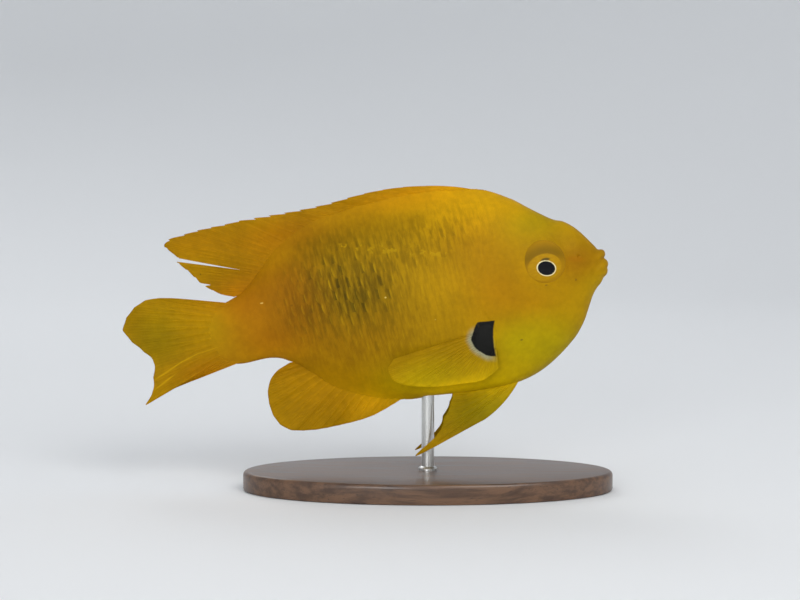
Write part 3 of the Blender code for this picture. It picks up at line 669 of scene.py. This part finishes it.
def pectoral_pad(side):
    """Points in metres and faces of a pad."""
    rows, around = 20, 32
    v, u = np.meshgrid(np.linspace(0.08, math.pi - 0.08, rows), full_turn(around), indexing="ij")
    x, y = PAD_RADII[0] * np.sin(v) * np.cos(u), PAD_RADII[1] * np.sin(v) * np.sin(u)
    z = PAD_RADII[2] * np.cos(v)
    x, z = x * math.cos(PAD_LEAN) + z * math.sin(PAD_LEAN), z * math.cos(PAD_LEAN) - x * math.sin(PAD_LEAN)
    points = place(PAD_STATION - x, side * (pectoral_start() - 0.3) + y, PAD_HEIGHT + z)
    return points.reshape(-1, 3), lidded_faces(rows, around)


# Scales


class BodySurface:
    """The body's surface, looked up by station and by distance from the back along the section."""

    def __init__(self):
        self.step, self.samples = 0.2, 181
        self.stations = np.arange(SNOUT, BODY_END, self.step)
        angles = np.linspace(0, math.pi, 241)
        side, h = rings(self.stations, angles, carved=False)
        run = np.cumsum(np.hypot(np.diff(side), np.diff(h)), axis=1)
        run = np.concatenate([np.zeros((len(side), 1)), run], axis=1)
        side, h = rings(self.stations, angles)
        side[:, 0] = side[:, -1] = 0
        self.length, self.middle = run[:, -1], run[:, len(angles) // 2]
        share = np.linspace(0, 1, self.samples)
        rows = [[np.interp(share * r[-1], r, line) for r, line in zip(run, field)] for field in (side, h)]
        self.place = np.stack(rows, axis=-1)
        along = np.broadcast_to(self.stations[:, None, None], (*self.place.shape[:2], 1))
        grid = np.concatenate([along, self.place], axis=-1)
        normal = unit(np.cross(np.gradient(grid, axis=0), np.gradient(grid, axis=1)))
        self.normal = normal * (1 if normal[len(normal) // 3, self.samples // 2][1] > 0 else -1)

    def half_girth(self, s):
        return np.interp(s, self.stations, self.length)

    def middle_at(self, s):
        """Distance along the section from the back to the middle of the flank."""
        return np.interp(s, self.stations, self.middle)

    def at(self, s, arc, flip):
        """Points and normals (station, side, height) at a distance arc from the back, on the side flip."""
        total = self.half_girth(s)
        flip = np.where(arc < 0, -flip, flip)
        arc = np.abs(arc)
        over = arc > total
        flip = np.where(over, -flip, flip)
        arc = np.where(over, 2 * total - arc, arc)
        i = np.clip((s - SNOUT) / self.step, 0, len(self.stations) - 1.001)
        j = np.clip(arc / total * (self.samples - 1), 0, self.samples - 1.001)
        i0, j0 = i.astype(int), j.astype(int)
        fi, fj = (i - i0)[..., None], (j - j0)[..., None]

        def blend(field):
            low = field[i0, j0] * (1 - fj) + field[i0, j0 + 1] * fj
            high = field[i0 + 1, j0] * (1 - fj) + field[i0 + 1, j0 + 1] * fj
            return low * (1 - fi) + high * fi

        side, h = np.moveaxis(blend(self.place), -1, 0)
        return stacked(s, side * flip, h), unit(blend(self.normal)) * stacked(1, flip, 1)


SCALE_SUNK, SCALE_WALL, SCALE_BOW = 0.03, 0.014, 0.006
SLANT = 0.12  # of the scales' rear edges, whose lower ends lie farther forward
FLATTER_ABOVE, FLATTER_BELOW = (24, 76), (45, 69)  # stations where the scales near the fins lie flatter
SCALE_AROUND = 22
SCALE_RINGS = (0.34, 0.62, 0.84, 1)


def scale_shape():
    """Template of one scale: (along, across) from -1 to 1, dome and depth of each point, and faces.

    Points run from the centre outwards, then the lower rim and the lower centre.
    """
    n, k = SCALE_AROUND, len(SCALE_RINGS)
    turn = full_turn(n)
    power = np.where(np.cos(turn) > 0, 2.8, 3.2)
    reach = (np.abs(np.cos(turn)) ** power + np.abs(np.sin(turn)) ** power) ** (-1 / power)
    outline = np.c_[reach * np.cos(turn), reach * np.sin(turn)]
    centre = np.zeros((1, 2))
    points = np.concatenate([centre, *[outline * r for r in SCALE_RINGS], outline, centre])
    dome = np.concatenate([[1.0], *[np.full(n, 1 - r**2) for r in SCALE_RINGS], np.zeros(n + 1)])
    deep = np.concatenate([np.zeros(1 + k * n), np.full(n, SCALE_WALL), [2 * SCALE_WALL]])
    ring = np.arange(n)
    top = np.c_[np.zeros(n, int), 1 + ring, 1 + np.roll(ring, -1)]
    quads = 1 + np.roll(grid_faces(k + 1, n, wrap=True)[:, ::-1], 1, axis=1)
    under = np.c_[np.full(n, 1 + (k + 1) * n), 1 + k * n + np.roll(ring, -1), 1 + k * n + ring]
    return points, dome, deep, [top, quads, under]


def lay_scales(name, body, layout, flip, look, painted=1):
    """One joined mesh of scales, from a layout as in laid_out."""
    shape, dome, deep, shape_faces = scale_shape()
    count, size = len(layout), len(shape)
    s0, row, spacing, length, tall, lift, thick, chance, shown = (layout[:, k, None] for k in range(9))
    x, y = shape.T
    across = y * tall / 2
    s = np.clip(s0 + x * length / 2 - SLANT * across, SNOUT + 0.05, BODY_END - 0.3)
    points, normal = body.at(s, arc_of_row(body, s, row + across / spacing), flip)
    total, arc = body.half_girth(s0), arc_of_row(body, s0, row)
    to_fin = np.minimum(np.where(within(s0, *FLATTER_ABOVE), arc, 9),
                        np.where(within(s0, *FLATTER_BELOW), total - arc, 9))
    flat = 0.15 + 0.85 * ease((to_fin - 2.5) / 5) * ease((BODY_END - 2 - s0) / 10)
    upper = (-SCALE_SUNK + (lift + SCALE_SUNK) * ((x + 1) / 2) - SCALE_BOW * y ** 2) * flat
    points = points + normal * (upper + flat * thick * dome - deep)[..., None]
    h = points[..., 2]
    laid = place(points[..., 0], points[..., 1], h).reshape(-1, 3)
    starts = (np.arange(count) * size)[:, None, None]
    faces = [(f[None] + starts).reshape(-1, f.shape[1])[:, ::-1 if flip > 0 else 1] for f in shape_faces]
    mesh = mesh_from(name, laid, faces, outwards=False)
    mesh.set_sharp_from_angle(angle=math.radians(50))
    set_markings(mesh, s, h)
    pore = bell((h - curve_at(LATERAL_LINE, s)) / 0.8)
    pore = pore * ease((s - LATERAL_LINE[0][0]) / 3) * ease((LATERAL_LINE[-1][0] - s) / 3)
    set_attributes(mesh, edge=(1 - x) * length / 2 / shown, across=across, pore=pore * painted,
                   chance=np.broadcast_to(chance, s.shape), dash=patches(DASH_PATCHES, s, h) * painted)
    # Each scale has its own patch of the baked picture
    u, v = 0.02 + 0.96 * s0 / 100, 0.02 + 0.46 * (arc / total) + (0.5 if flip > 0 else 0)
    uv = stacked(u + x * 0.0015, v + y * 0.0015).reshape(-1, 2)
    corners = np.empty(len(mesh.loops), np.int32)
    mesh.loops.foreach_get("vertex_index", corners)
    layer = mesh.uv_layers.new(name="OFBake")
    layer.data.foreach_set("uv", uv[corners].astype(np.float32).ravel())
    add_piece(name, mesh, look)


ROW_HEIGHT = 2.75  # between rows of flank scales, at the deepest part
EXPOSED = 2.15  # length of scale that shows
HEAD_ROWS = 0.38  # of ROW_HEIGHT, between rows on the head
CHEST_LINE = [(20, -12), (27, -14.6), (33, -17), (39, -24)]  # ahead of it the scales are small
FLANK_SCALES = (15, 81.5)
ROOT_OF_DORSAL, ROOT_OF_ANAL = (19, 77), (44, 69)


def row_height(s):
    return ROW_HEIGHT * (1 - 0.42 * ease((s - 45) / 35))


def exposed(s):
    return EXPOSED * (1 - 0.3 * ease((s - 55) / 28))


def arc_of_row(body, s, row):
    """Distance from the back of the row's line; row 0 runs along the middle of the flank."""
    return body.middle_at(s) + row * row_height(s)


def laid_out(rng, made, jitter, sizes):
    """Columns: station, row, row spacing, length, height, lift, thickness, chance, length that shows."""
    s, row = np.array(made, float).T
    s = s + rng.normal(0, jitter[0], len(s))
    row = row + rng.normal(0, jitter[1], len(s))
    length, tall, lift, thick, shown = sizes(s)
    lift = (lift[0] + rng.normal(0, 0.001, len(s))) * lift[1]
    return stacked(s, row, row_height(s), length, tall, lift, thick, rng.random(len(s)), shown)


def flank_layout(rng):
    """Rows of overlapping scales from the gill cover to the tail."""
    columns = [20 - 8 * EXPOSED]
    while columns[-1] < 82.5:
        columns.append(columns[-1] + float(exposed(columns[-1])))
    made = [((s + after) / 2 if row % 2 else s, row) for row in range(-12, 13)
            for s, after in zip(columns, columns[1:])]
    return laid_out(rng, made, (0.05, 0.02), lambda s: (
        exposed(s) * 2.05, row_height(s) * 1.42, (0.012, 1 - 0.4 * ease((s - 60) / 20)), 0.004, exposed(s)))


def head_layout(rng):
    """Smaller scales on the nape, cheek and gill cover."""
    shown = 1.15
    made = [(s + k % 2 * shown / 2, k * HEAD_ROWS) for k in range(-32, 32) for s in np.arange(6.2, 40, shown)]
    return laid_out(rng, made, (0.06, 0.03), lambda s: (
        shown * 1.95, HEAD_ROWS * ROW_HEIGHT * 1.7, (0.008, 1), 0.003, shown))


def make_scales(look):
    body = BodySurface()

    def on_flank(s, h, arc, total):
        pad = np.hypot((s - PAD_STATION) / 2.6, (h - PAD_HEIGHT) / 3.6)
        chest = (ahead_of(CHEST_LINE, s, h) > 0.6) & (h < CHEST_LINE[0][1] + 1)
        above = np.where(within(s, *ROOT_OF_DORSAL), 1, -0.3 * ROW_HEIGHT)
        below = np.where(within(s, *ROOT_OF_ANAL), 1, -0.3 * ROW_HEIGHT)
        clear = (ahead_of(GILL_LINE, s, h) < 1.2) & ~chest & (pad > 1.05)
        return clear & within(arc, above, total - below) & within(s, *FLANK_SCALES)

    def on_head(s, h, arc, total):
        eye = np.hypot(s - EYE_STATION, h - EYE_HEIGHT)
        chest = (ahead_of(CHEST_LINE, s, h) > 0.2) & (h < CHEST_LINE[0][1])
        clear = ((ahead_of(GILL_LINE, s, h) > 0.3) | chest) & (eye > ORBIT_RADIUS + 1.5)
        return clear & (s > 7 + 0.14 * np.abs(h - 1)) & within(arc, -0.6, total + 0.6)

    parts = (("flank", flank_layout, on_flank, 1), ("head", head_layout, on_head, 0.3))
    for name, flip, seed in (("right", RIGHT, 11), ("left", LEFT, 12)):
        rng = np.random.default_rng(seed)
        for part, laying, test, painted in parts:
            layout = laying(rng)
            s, row = layout[:, :2].T
            arc = arc_of_row(body, s, row)
            h = body.at(s, arc, np.ones(len(s)))[0][:, 2]
            kept = layout[test(s, h, arc, body.half_girth(s))]
            lay_scales(part + "_scales_" + name, body, kept, flip, look, painted)


# Fins
DORSAL_SPINES, DORSAL_RAYS = 14, 14
SPINES_FROM, SPINES_TO = 19, 61
DORSAL_RAYS_FROM, DORSAL_RAYS_TO = 62.8, 75.6
SPINE_LEAN = 12.6
SPINE_TIPS = [
    (21.2, 18.7), (24.5, 20.1), (29.2, 21.4), (34, 22.4), (40, 23.1), (47, 23.1), (54, 22.5), (72.3, 22.5)]
DORSAL_UPPER_EDGE = [(75.4, 22.3), (80.5, 22.2), (84.5, 21.8), (88.7, 20.8), (86.4, 17.6)]
DORSAL_LOWER_EDGE = [(86.6, 16.5), (84.3, 13.7), (82.5, 11.2), (80.6, 9.6), (78.9, 8.4), (76.6, 7.5)]
DORSAL_RAYS_ABOVE_SLIT = 7
SLIT_END = 0.36  # share of the ray's length where the slit begins
SLIT_HALF = 0.36  # half its width at the margin, in rays
NOTCH_BEHIND_SLIT, NOTCH_DEPTH = 3.5, 0.14
ANAL_SPINES, ANAL_RAYS = 2, 15
ANAL_FROM, ANAL_TO = 45, 66
ANAL_EDGE = [
    (48.2, -20.3), (53, -21.9), (57.5, -22.5), (62, -22.7), (66.5, -22.5), (70.6, -21.5), (72.7, -19.5),
    (73.5, -16.4), (73.2, -12.6), (71.5, -9.8), (68.2, -8.2)]
CAUDAL_RAYS = 17
CAUDAL_ROOT_STATION, CAUDAL_ROOT_HALF = 77.6, 5.6
CAUDAL_TOP = [(86.5, 8.8), (91.2, 9.9), (94.4, 10.1), (96.5, 9.4), (98.4, 8.2), (99.7, 6.7), (100.65, 4.8)]
CAUDAL_MIDDLE = [(100.65, 4.8), (98.6, 1), (95.6, -2.5), (96.1, -5.3), (96.7, -8.3), (99, -11.3)]
CAUDAL_UNDERSIDE = [(99, -11.3), (93, -9.2), (87, -7.9)]
PECTORAL_RAYS = 17
PECTORAL_ROOT = [(28.8, -8), (29.9, -10.4), (28.9, -12.8), (26.3, -14.2)]
PECTORAL_EDGE = [
    (46.6, -10.6), (48, -12.2), (47.4, -14.6), (44.2, -16.4), (39.5, -17.5), (34, -18), (29.2, -18),
    (26.3, -16.4)]
PECTORAL_FAN_FROM = (24.6, -9)
PELVIC_ROOT = [(23.2, -20.7), (27.4, -20.2)]
PELVIC_TIPS = [(31.8, -27), (45.8, -31.2), (40.8, -27.8), (38.9, -25), (37, -22.3), (36, -19.8)]
PELVIC_BOW, PELVIC_SIDE, PELVIC_SPLAY = 0.7, 1.7, math.radians(13)
MEMBRANE_HALF = 0.09
RAY_RELIEF, RAY_TIP = 0.42, 0.09
ROOT_SWELL = 0.34  # extra half thickness where a fin leaves the body


def between(values, c):
    """Values given at whole numbers, read at c, carried straight on past both ends."""
    n = len(values)
    out = curves_at(range(n), values, c) + np.minimum(c, 0)[:, None] * (values[1] - values[0])
    return out + np.maximum(c - (n - 1), 0)[:, None] * (values[-1] - values[-2])


def sunk(roots, tips, depth):
    """Roots moved back along their own lines, into the body."""
    return roots + unit(roots - tips) * depth


def scalloped(depth):
    """A fin's margin that draws in between the rays by a share of their length."""
    return lambda c: 1 - depth * np.abs(np.sin(math.pi * c))


def make_fin(node, roots, tips, look, margin, spines=0, rows=64, per=14, side_at=lambda s, h: 0,
             across=(0, 1, 0), bow=0, wave=0, ray_root=0.24, swell=0, swell_end=4, painted_root_light=0, seed=1):
    """A fin of stiff spines, then soft rays that fork towards their tips, with thin skin between them.

    Column c runs across the rays, with ray k at c = k, and row q runs from the roots to the margin.
    """
    n = len(roots)
    c = np.arange(-2, (n - 1) * per + 3) / per
    q = np.linspace(0, 1, rows)
    root, tip = between(roots, c), between(tips, c)
    reach = (tip - root) * margin(c)[:, None]
    length = np.linalg.norm(reach, axis=1)[:, None]
    bend = np.c_[reach[:, 1], -reach[:, 0]] / length
    line = root[:, None] + reach[:, None] * q[:, None]
    line = line + bow * (4 * q * (1 - q))[:, None] * bend[:, None]
    spacing = np.linalg.norm(np.gradient(line, axis=0), axis=2) * per
    rng = np.random.default_rng(seed)
    ray, half = np.zeros((2, len(c), rows))
    c = c[:, None]
    for k in range(n):
        offsets = [np.zeros(rows)]
        if k >= spines:
            fork = 0.24 * ease((q - rng.uniform(0.16, 0.28)) / 0.55)
            twig = 0.115 * ease((q - rng.uniform(0.4, 0.52)) / 0.4)
            offsets = [a * fork + b * twig for a in (-1, 1) for b in (-1, 1)]
        wide = (ray_root + (RAY_TIP - ray_root) * q) * (1.15 if k < spines else 1)
        for offset in offsets:
            hump = bell(np.abs(c - k - offset) * spacing / (0.85 * wide))
            ray = np.maximum(ray, hump)
            half = np.maximum(half, hump * (wide * RAY_RELIEF))
    from_root = length * q
    fade = ease((from_root - 0.25 * swell_end) / swell_end) if swell else 1
    half = MEMBRANE_HALF * (1 - 0.35 * q) + half * fade
    half += swell * np.clip(1 - from_root / swell_end, 0, 1) ** 1.5
    half[:, -1] *= 0.35
    half[[0, -1]] *= 0.4
    s, h = line[..., 0], line[..., 1]
    phase = rng.uniform(0, 6.28, 3)
    side = side_at(s, h) + wave * q ** 2 * (np.sin(c * 0.9 + phase[0]) + 0.5 * np.sin(c * 2.1 + phase[1]))
    middle = place(s, side + 0.05 * q * np.sin(c * 2 * math.pi + phase[2]), h)
    offset = half[..., None] * MM * np.asarray(across, float)
    quads = grid_faces(len(c), rows)
    index = np.arange(s.size).reshape(len(c), rows)
    border = np.concatenate([index[:-1, 0], index[-1, :-1], index[:0:-1, -1], index[0, :0:-1]])
    after = np.roll(border, -1)
    rim = np.c_[border, after, after + s.size, border + s.size]
    mesh = mesh_from(node + "_rayed", np.concatenate([middle + offset, middle - offset]).reshape(-1, 3),
                     [quads, quads[:, ::-1] + s.size, rim[:, ::-1]])

    def twice(values):
        return np.concatenate([values, values])

    set_markings(mesh, twice(s), twice(h))
    # Painted light: the fin is lighter near its root, to even it with the lit body where it leaves it
    set_attributes(mesh, ray=twice(ray), tone=twice(1 + painted_root_light * np.exp(-from_root / 6)),
                   along=twice(from_root + np.floor(c + 0.5) * 0.37))
    add_piece(node + "_rayed", mesh, look, (node,))


def make_dorsal_fin(look):
    spine_s = np.linspace(SPINES_FROM, SPINES_TO, DORSAL_SPINES)
    order = np.arange(DORSAL_SPINES)
    tip_s = spine_s + SPINE_LEAN * (1 - np.exp(-(order + 0.55) / 2.6)) - 1.4 * (order / DORSAL_SPINES) ** 2
    above = DORSAL_RAYS_ABOVE_SLIT
    root_s = np.concatenate([spine_s, np.linspace(DORSAL_RAYS_FROM, DORSAL_RAYS_TO, DORSAL_RAYS)])
    roots = np.c_[root_s, curve_at(BACK, root_s)]
    tips = np.concatenate([np.c_[tip_s, curve_at(SPINE_TIPS, tip_s)], line_through(DORSAL_UPPER_EDGE, above),
                           line_through(DORSAL_LOWER_EDGE, DORSAL_RAYS - above)])
    slit_at = DORSAL_SPINES + above - 0.5

    def margin(c):
        frac = c - np.floor(c + 1e-9)
        drop = np.where(c < DORSAL_SPINES - 0.99, 0.015 + 0.035 * ease((c - 4) / 4), 0.02)
        drop = drop * np.where((c > 0) & (c < len(root_s) - 1), 1, 0)
        share = 1 - drop * (1 - frac) ** 1.6 * (frac > 1e-6)
        share = np.minimum(share, SLIT_END + (1 - SLIT_END) * np.abs(c - slit_at) / SLIT_HALF)
        return share * (1 - NOTCH_DEPTH * bell((c - slit_at - NOTCH_BEHIND_SLIT) / 0.14))

    make_fin("dorsal_fin", sunk(roots, tips, 2.6), tips, look, margin, spines=DORSAL_SPINES, wave=0.22,
             swell=ROOT_SWELL, swell_end=6.5, painted_root_light=0.3, seed=3)


def make_anal_fin(look):
    count = ANAL_SPINES + ANAL_RAYS
    root_s = np.linspace(ANAL_FROM, ANAL_TO, count)
    roots = np.c_[root_s, curve_at(BELLY, root_s)]
    tips = line_through(ANAL_EDGE, count)
    make_fin("anal_fin", sunk(roots, tips, 2.2), tips, look, scalloped(0.004), spines=ANAL_SPINES,
             wave=0.25, swell=ROOT_SWELL, swell_end=6, painted_root_light=0.16, seed=4)


def make_caudal_fin(look):
    angle = np.linspace(1, -1, CAUDAL_RAYS)
    roots = np.c_[CAUDAL_ROOT_STATION + 1.6 * (1 - angle**2) - 3, CAUDAL_ROOT_HALF * angle * 0.96]
    tips = np.concatenate([line_through(CAUDAL_TOP, 7)[:-1], line_through(CAUDAL_MIDDLE, 7)[:-1],
                           line_through(CAUDAL_UNDERSIDE, CAUDAL_RAYS - 12)])
    make_fin("caudal_fin", roots, tips, look, scalloped(0.008), rows=72, wave=0.25, swell=0.75,
             swell_end=13, painted_root_light=0.26, seed=5)


def make_pectoral_fin(node, side, look):
    roots = line_through(PECTORAL_ROOT, PECTORAL_RAYS)
    tips = line_through(PECTORAL_EDGE, PECTORAL_RAYS)
    start = pectoral_start()

    def side_at(s, h):
        return side * (start + PECTORAL_LIFT * np.hypot(s - PAD_STATION, h - PAD_HEIGHT))

    inner = roots + (np.array(PECTORAL_FAN_FROM) - roots) * 0.3
    make_fin(node, inner, tips, look, scalloped(0.004), rows=60, side_at=side_at, wave=0.12, ray_root=0.2,
             seed=6)


def make_pelvic_fin(node, side, look):
    roots = line_through(PELVIC_ROOT, len(PELVIC_TIPS))
    tips = np.array(PELVIC_TIPS)
    across = (0, math.cos(PELVIC_SPLAY), side * math.sin(PELVIC_SPLAY))

    def side_at(s, h):
        return side * (PELVIC_SIDE + math.tan(PELVIC_SPLAY) * (PELVIC_ROOT[0][1] - h))

    make_fin(node, sunk(roots, tips, 1.6), tips, look, lambda c: scalloped(0.02 * (c > 1))(c), spines=1,
             per=24, side_at=side_at, across=across, bow=PELVIC_BOW, wave=0.1, seed=7)


# Eyes


def eye_frame(side):
    """Where an eye's centre is and how it is turned, as in the solids, as one matrix."""
    turn = Matrix.Rotation(-side * EYE_YAW, 4, "Z") @ Matrix.Rotation(side * EYE_PITCH, 4, "X")
    inwards = (turn @ Vector((0, -side, 0))) * (EYE_HALF_DEPTH - EYE_BULGE)
    on_head = side * float(flank(EYE_STATION, EYE_HEIGHT))
    centre = place(EYE_STATION - inwards.x, on_head + inwards.y, EYE_HEIGHT + inwards.z)
    return POSE @ Matrix.Translation(Vector(centre)) @ turn


PUPIL_AT = (-0.15, -1.4)  # forwards and up from the middle of the eye
PUPIL_HALF = (1.78, 1.36)
EYE_UNDER_RIM = 0.2
EYE_FRONT_CURVE = 9  # radius of the eye's front
EYE_EDGE_SHARPNESS = 120
DISC_AT = (-0.35, -1.1)
DISC_HALF = (3.45, 2.6)
PUPIL_TILT = math.radians(-20)


def eye_ball(name, side):
    """A closed ball flattened across the head, drawn as rings round the outward axis."""
    turns, steps = 120, 110
    theta = np.linspace(0, math.pi, steps + 1)[1:-1]
    t, p = np.meshgrid(theta, full_turn(turns), indexing="ij")
    radius = EYE_RADIUS + EYE_UNDER_RIM
    x, z = radius * np.sin(t) * np.cos(p), radius * np.sin(t) * np.sin(p)
    out = EYE_HALF_DEPTH - (radius * np.sin(t)) ** 2 / (2 * EYE_FRONT_CURVE)
    out = out * np.sign(np.cos(t)) * (1 - np.sin(t) ** EYE_EDGE_SHARPNESS) ** 0.5
    cos, sin = math.cos(PUPIL_TILT), math.sin(PUPIL_TILT)
    dx, dz = x - PUPIL_AT[0], z - PUPIL_AT[1]
    away = np.hypot((dx * cos - dz * sin) / PUPIL_HALF[0], (dx * sin + dz * cos) / PUPIL_HALF[1])
    raised = 0.04 * bell((away - 1.12) / 0.12) - 0.06 * ease((1.02 - away) / 0.1)
    out += np.where(np.cos(t) > 0, raised, 0)
    points = stacked(x, side * out, z).reshape(-1, 3)
    poles = np.array([[0, side * EYE_HALF_DEPTH, 0], [0, -side * EYE_HALF_DEPTH, 0]])
    return mesh_from(name, np.concatenate([points, poles]) * MM, capped_faces(len(theta), turns))


def eye_material():
    n = Nodes("damselfish_eye")
    pupil = n.oval((-PUPIL_AT[0], PUPIL_AT[1]), PUPIL_HALF, -PUPIL_TILT)
    disc = n.oval((-DISC_AT[0], DISC_AT[1]), DISC_HALF)
    dark_over_pupil = n.oval((-PUPIL_AT[0] - 0.1, PUPIL_AT[1] + 1.75), (1.15, 0.42))
    speck = n.noise(1800, 4, roughness=0.65)
    streaks = n.noise(900, 3, (1, 1, 0.33))
    up = n.side_view()[1]
    colour = n.mix(n.span(streaks, 0.35, 0.65), (0.375, 0.19, 0.001), (0.41, 0.222, 0.001))
    colour = n.mix(n.span(disc, 0.97, 1.05), colour, (0.37, 0.186, 0.001))
    shadow = n.times(n.span(disc, 0.97, 1.08), n.span(disc, 2.3, 1.2), n.span(up, -1.5, 1.4, 0.15, 0.8))
    colour = n.mix(shadow, colour, (0.165, 0.09, 0.001))
    # Darker over the top of the pupil's ring
    colour = n.mix(n.times(n.span(dark_over_pupil, 1.1, 0.5), 0.8), colour, (0.035, 0.03, 0.012))
    ring = n.times(n.span(pupil, 1.18, 1.11), n.span(speck, 0.35, 0.55, 0.45, 1))
    colour = n.mix(ring, colour, (0.78, 0.7, 0.4))
    colour = n.mix(n.span(pupil, 1.05, 0.99), colour, (0.007, 0.007, 0.009))
    normal = n.bump(n.plus(streaks, speck), 0.00006, 0.5)
    return n.finish(colour, n.span(pupil, 0.9, 1.3, 0.18, 0.6), 0.1, Normal=normal)


def make_eyes():
    look = eye_material()
    for name, side in (("right", RIGHT), ("left", LEFT)):
        ball = eye_ball("eyeball_" + name, side)
        add_piece("eyeball_" + name, ball, look, ("eye_" + name,), eye_frame(side))


# Stand
BASE_LENGTH, BASE_DEPTH, BASE_THICKNESS, BASE_ROUNDING = 76, 38, 4, 0.9
ROD_RADIUS = 1.3
ROD_TOP = 27.6


def spun(profile, around, stretch=(1, 1)):
    """Rings of points in millimetres round the vertical axis, from (radius, height) points."""
    radius, height = np.array(profile, float).T[..., None]
    turn = full_turn(around)
    x, y = radius * np.cos(turn) * stretch[0], radius * np.sin(turn) * stretch[1]
    return stacked(x, y, height).reshape(-1, 3)


def turned(name, profile, around, stretch=(1, 1)):
    """A closed round piece from (radius, height) points, from the top's middle to the bottom's."""
    mesh = mesh_from(name, spun(profile, around, stretch) * MM, lidded_faces(len(profile), around))
    mesh.set_sharp_from_angle(angle=math.radians(35))
    return mesh


def wood_material():
    n = Nodes("stand_wood")
    where = n.coordinates()
    bent = n.node("TexNoise", {"Vector": where, "Scale": 26, "Detail": 2}).outputs["Color"]
    moved = n.vector("ADD", where, n.vector("SCALE", bent, 0.01))
    grain = n.node("Mapping", {"Vector": moved, "Scale": (3, 60, 60)}).outputs[0]
    bands = n.noise(14, 5, roughness=0.6, where=grain)
    pores = n.noise(70, 2, where=grain)
    colour = n.mix(n.span(bands, 0.35, 0.65), (0.058, 0.027, 0.013), (0.135, 0.067, 0.032))
    colour = n.mix(n.times(n.span(pores, 0.62, 0.72), 0.6), colour, (0.025, 0.012, 0.006))
    normal = n.bump(pores, 0.00006, 0.4)
    return n.finish(colour, n.span(bands, 0.3, 0.7, 0.36, 0.46), 0.45, Normal=normal, Coat_Weight=0.35,
                    Coat_Roughness=0.18)


def steel_material():
    n = Nodes("stand_steel")
    lines = n.noise(400, 3, (0.07, 0.07, 1.7))
    return n.finish((0.62, 0.62, 0.6, 1), n.span(lines, 0.3, 0.7, 0.24, 0.4), 0.5, Metallic=1,
                    Normal=n.bump(lines, 0.00002, 0.5))


def make_stand():
    r, t = BASE_ROUNDING, BASE_THICKNESS
    half = BASE_LENGTH / 2
    turn = np.linspace(0, math.pi / 2, 8)
    inset = [(half - r + r * math.sin(a), t - r + r * math.cos(a)) for a in turn]
    foot = [(half, 0.5), (half - 0.15, 0.12), (half - 0.5, 0)]
    profile = [(half * 0.02, t), (half * 0.5, t), *inset, *foot, (half * 0.5, 0), (half * 0.02, 0)]
    base = turned("wooden_base", profile, 192, (1, BASE_DEPTH / BASE_LENGTH))
    add_piece("wooden_base", base, wood_material(), ("stand_base",), Matrix.Identity(4))
    rod = [(0.2, ROD_TOP), (ROD_RADIUS, ROD_TOP), (ROD_RADIUS, t + 0.9), (ROD_RADIUS + 0.35, t + 0.75),
           (ROD_RADIUS + 0.6, t + 0.45), (ROD_RADIUS + 0.6, t + 0.02), (0.2, t + 0.02)]
    add_piece("steel_rod", turned("steel_rod", rod, 64), steel_material(), ("stand_rod",),
              Matrix.Identity(4))


# Stage, lights and camera
PIXEL = 0.2045  # millimetres of the fish's plane that one pixel shows
CAMERA_UP = math.radians(4)
LENS, SENSOR, WIDTH, HEIGHT = 85, 36, 800, 600
ROD_PIXEL, FLOOR_PIXEL = 428, 491
FLOOR_RADIUS, CURB, FLOOR_GAP = 600, 800, 0.05  # the pale floor curves up beyond its radius
LIGHTS_AIM = Vector((-0.01, 0, 0.04))
# Name, place in metres, diameter, power and colour
LIGHTS = [
    ("key", (0.3, -0.62, 0.5), 0.46, 2.9, (1, 0.985, 0.96)),
    ("fill", (-0.3, -0.95, 0.22), 0.38, 2.9, (0.98, 0.99, 1)),
    ("back", (-0.25, 0.6, 0.6), 0.5, 1.2, (1, 1, 1))]


def make_stage():
    turn = np.linspace(0.03, math.pi / 2, 24)
    curb = [(FLOOR_RADIUS + CURB * math.sin(a), CURB * (1 - math.cos(a))) for a in turn]
    profile = [(1, 0), (FLOOR_RADIUS, 0), *curb, (FLOOR_RADIUS + CURB, 2 * CURB)]
    around = 128
    points = spun(profile, around) - (0, 0, FLOOR_GAP)
    faces = [grid_faces(len(profile), around, wrap=True), np.arange(around)[None]]
    floor = new_object("floor", mesh_from("floor", points * MM, faces, outwards=False))
    floor.data.materials.append(Nodes("pale_floor").finish((0.79, 0.8, 0.81, 1), 0.9, 0.1))


def make_lights():
    for name, at, size, power, colour in LIGHTS:
        lamp = bpy.data.lights.new(name, "AREA")
        lamp.shape = "DISK"
        lamp.size = size
        lamp.energy = power
        lamp.color = colour
        item = new_object(name, lamp)
        item.location = at
        item.rotation_euler = (LIGHTS_AIM - Vector(at)).to_track_quat("-Z", "Y").to_euler()
    world = bpy.data.worlds.new("studio")
    world.use_nodes = True
    background = world.node_tree.nodes["Background"].inputs
    background["Color"].default_value = (0.93, 0.96, 1, 1)
    background["Strength"].default_value = 0.72
    bpy.context.scene.world = world
    bpy.context.scene.view_settings.view_transform = "Standard"


def make_camera():
    data = bpy.data.cameras.new("camera")
    data.lens = LENS
    data.sensor_width = SENSOR
    data.clip_start = 0.01
    camera = new_object("camera", data)
    aim = Vector((WIDTH / 2 - ROD_PIXEL, 0, FLOOR_PIXEL - HEIGHT / 2)) * PIXEL * MM
    distance = WIDTH * PIXEL * MM * LENS / SENSOR
    camera.location = aim + Vector((0, -math.cos(CAMERA_UP), math.sin(CAMERA_UP))) * distance
    camera.rotation_euler = (math.pi / 2 - CAMERA_UP, 0, 0)
    bpy.context.scene.camera = camera


make_camera()
make_stage()
make_lights()
make_stand()
make_eyes()
make_skin(skin_material())
make_scales(scale_material())
fin_look = fin_material()
make_dorsal_fin(fin_look)
make_anal_fin(fin_look)
make_caudal_fin(fin_look)
for fin_side, side_name in ((RIGHT, "right"), (LEFT, "left")):
    make_pectoral_fin("pectoral_fin_" + side_name, fin_side, fin_look)
    make_pelvic_fin("pelvic_fin_" + side_name, fin_side, fin_look)
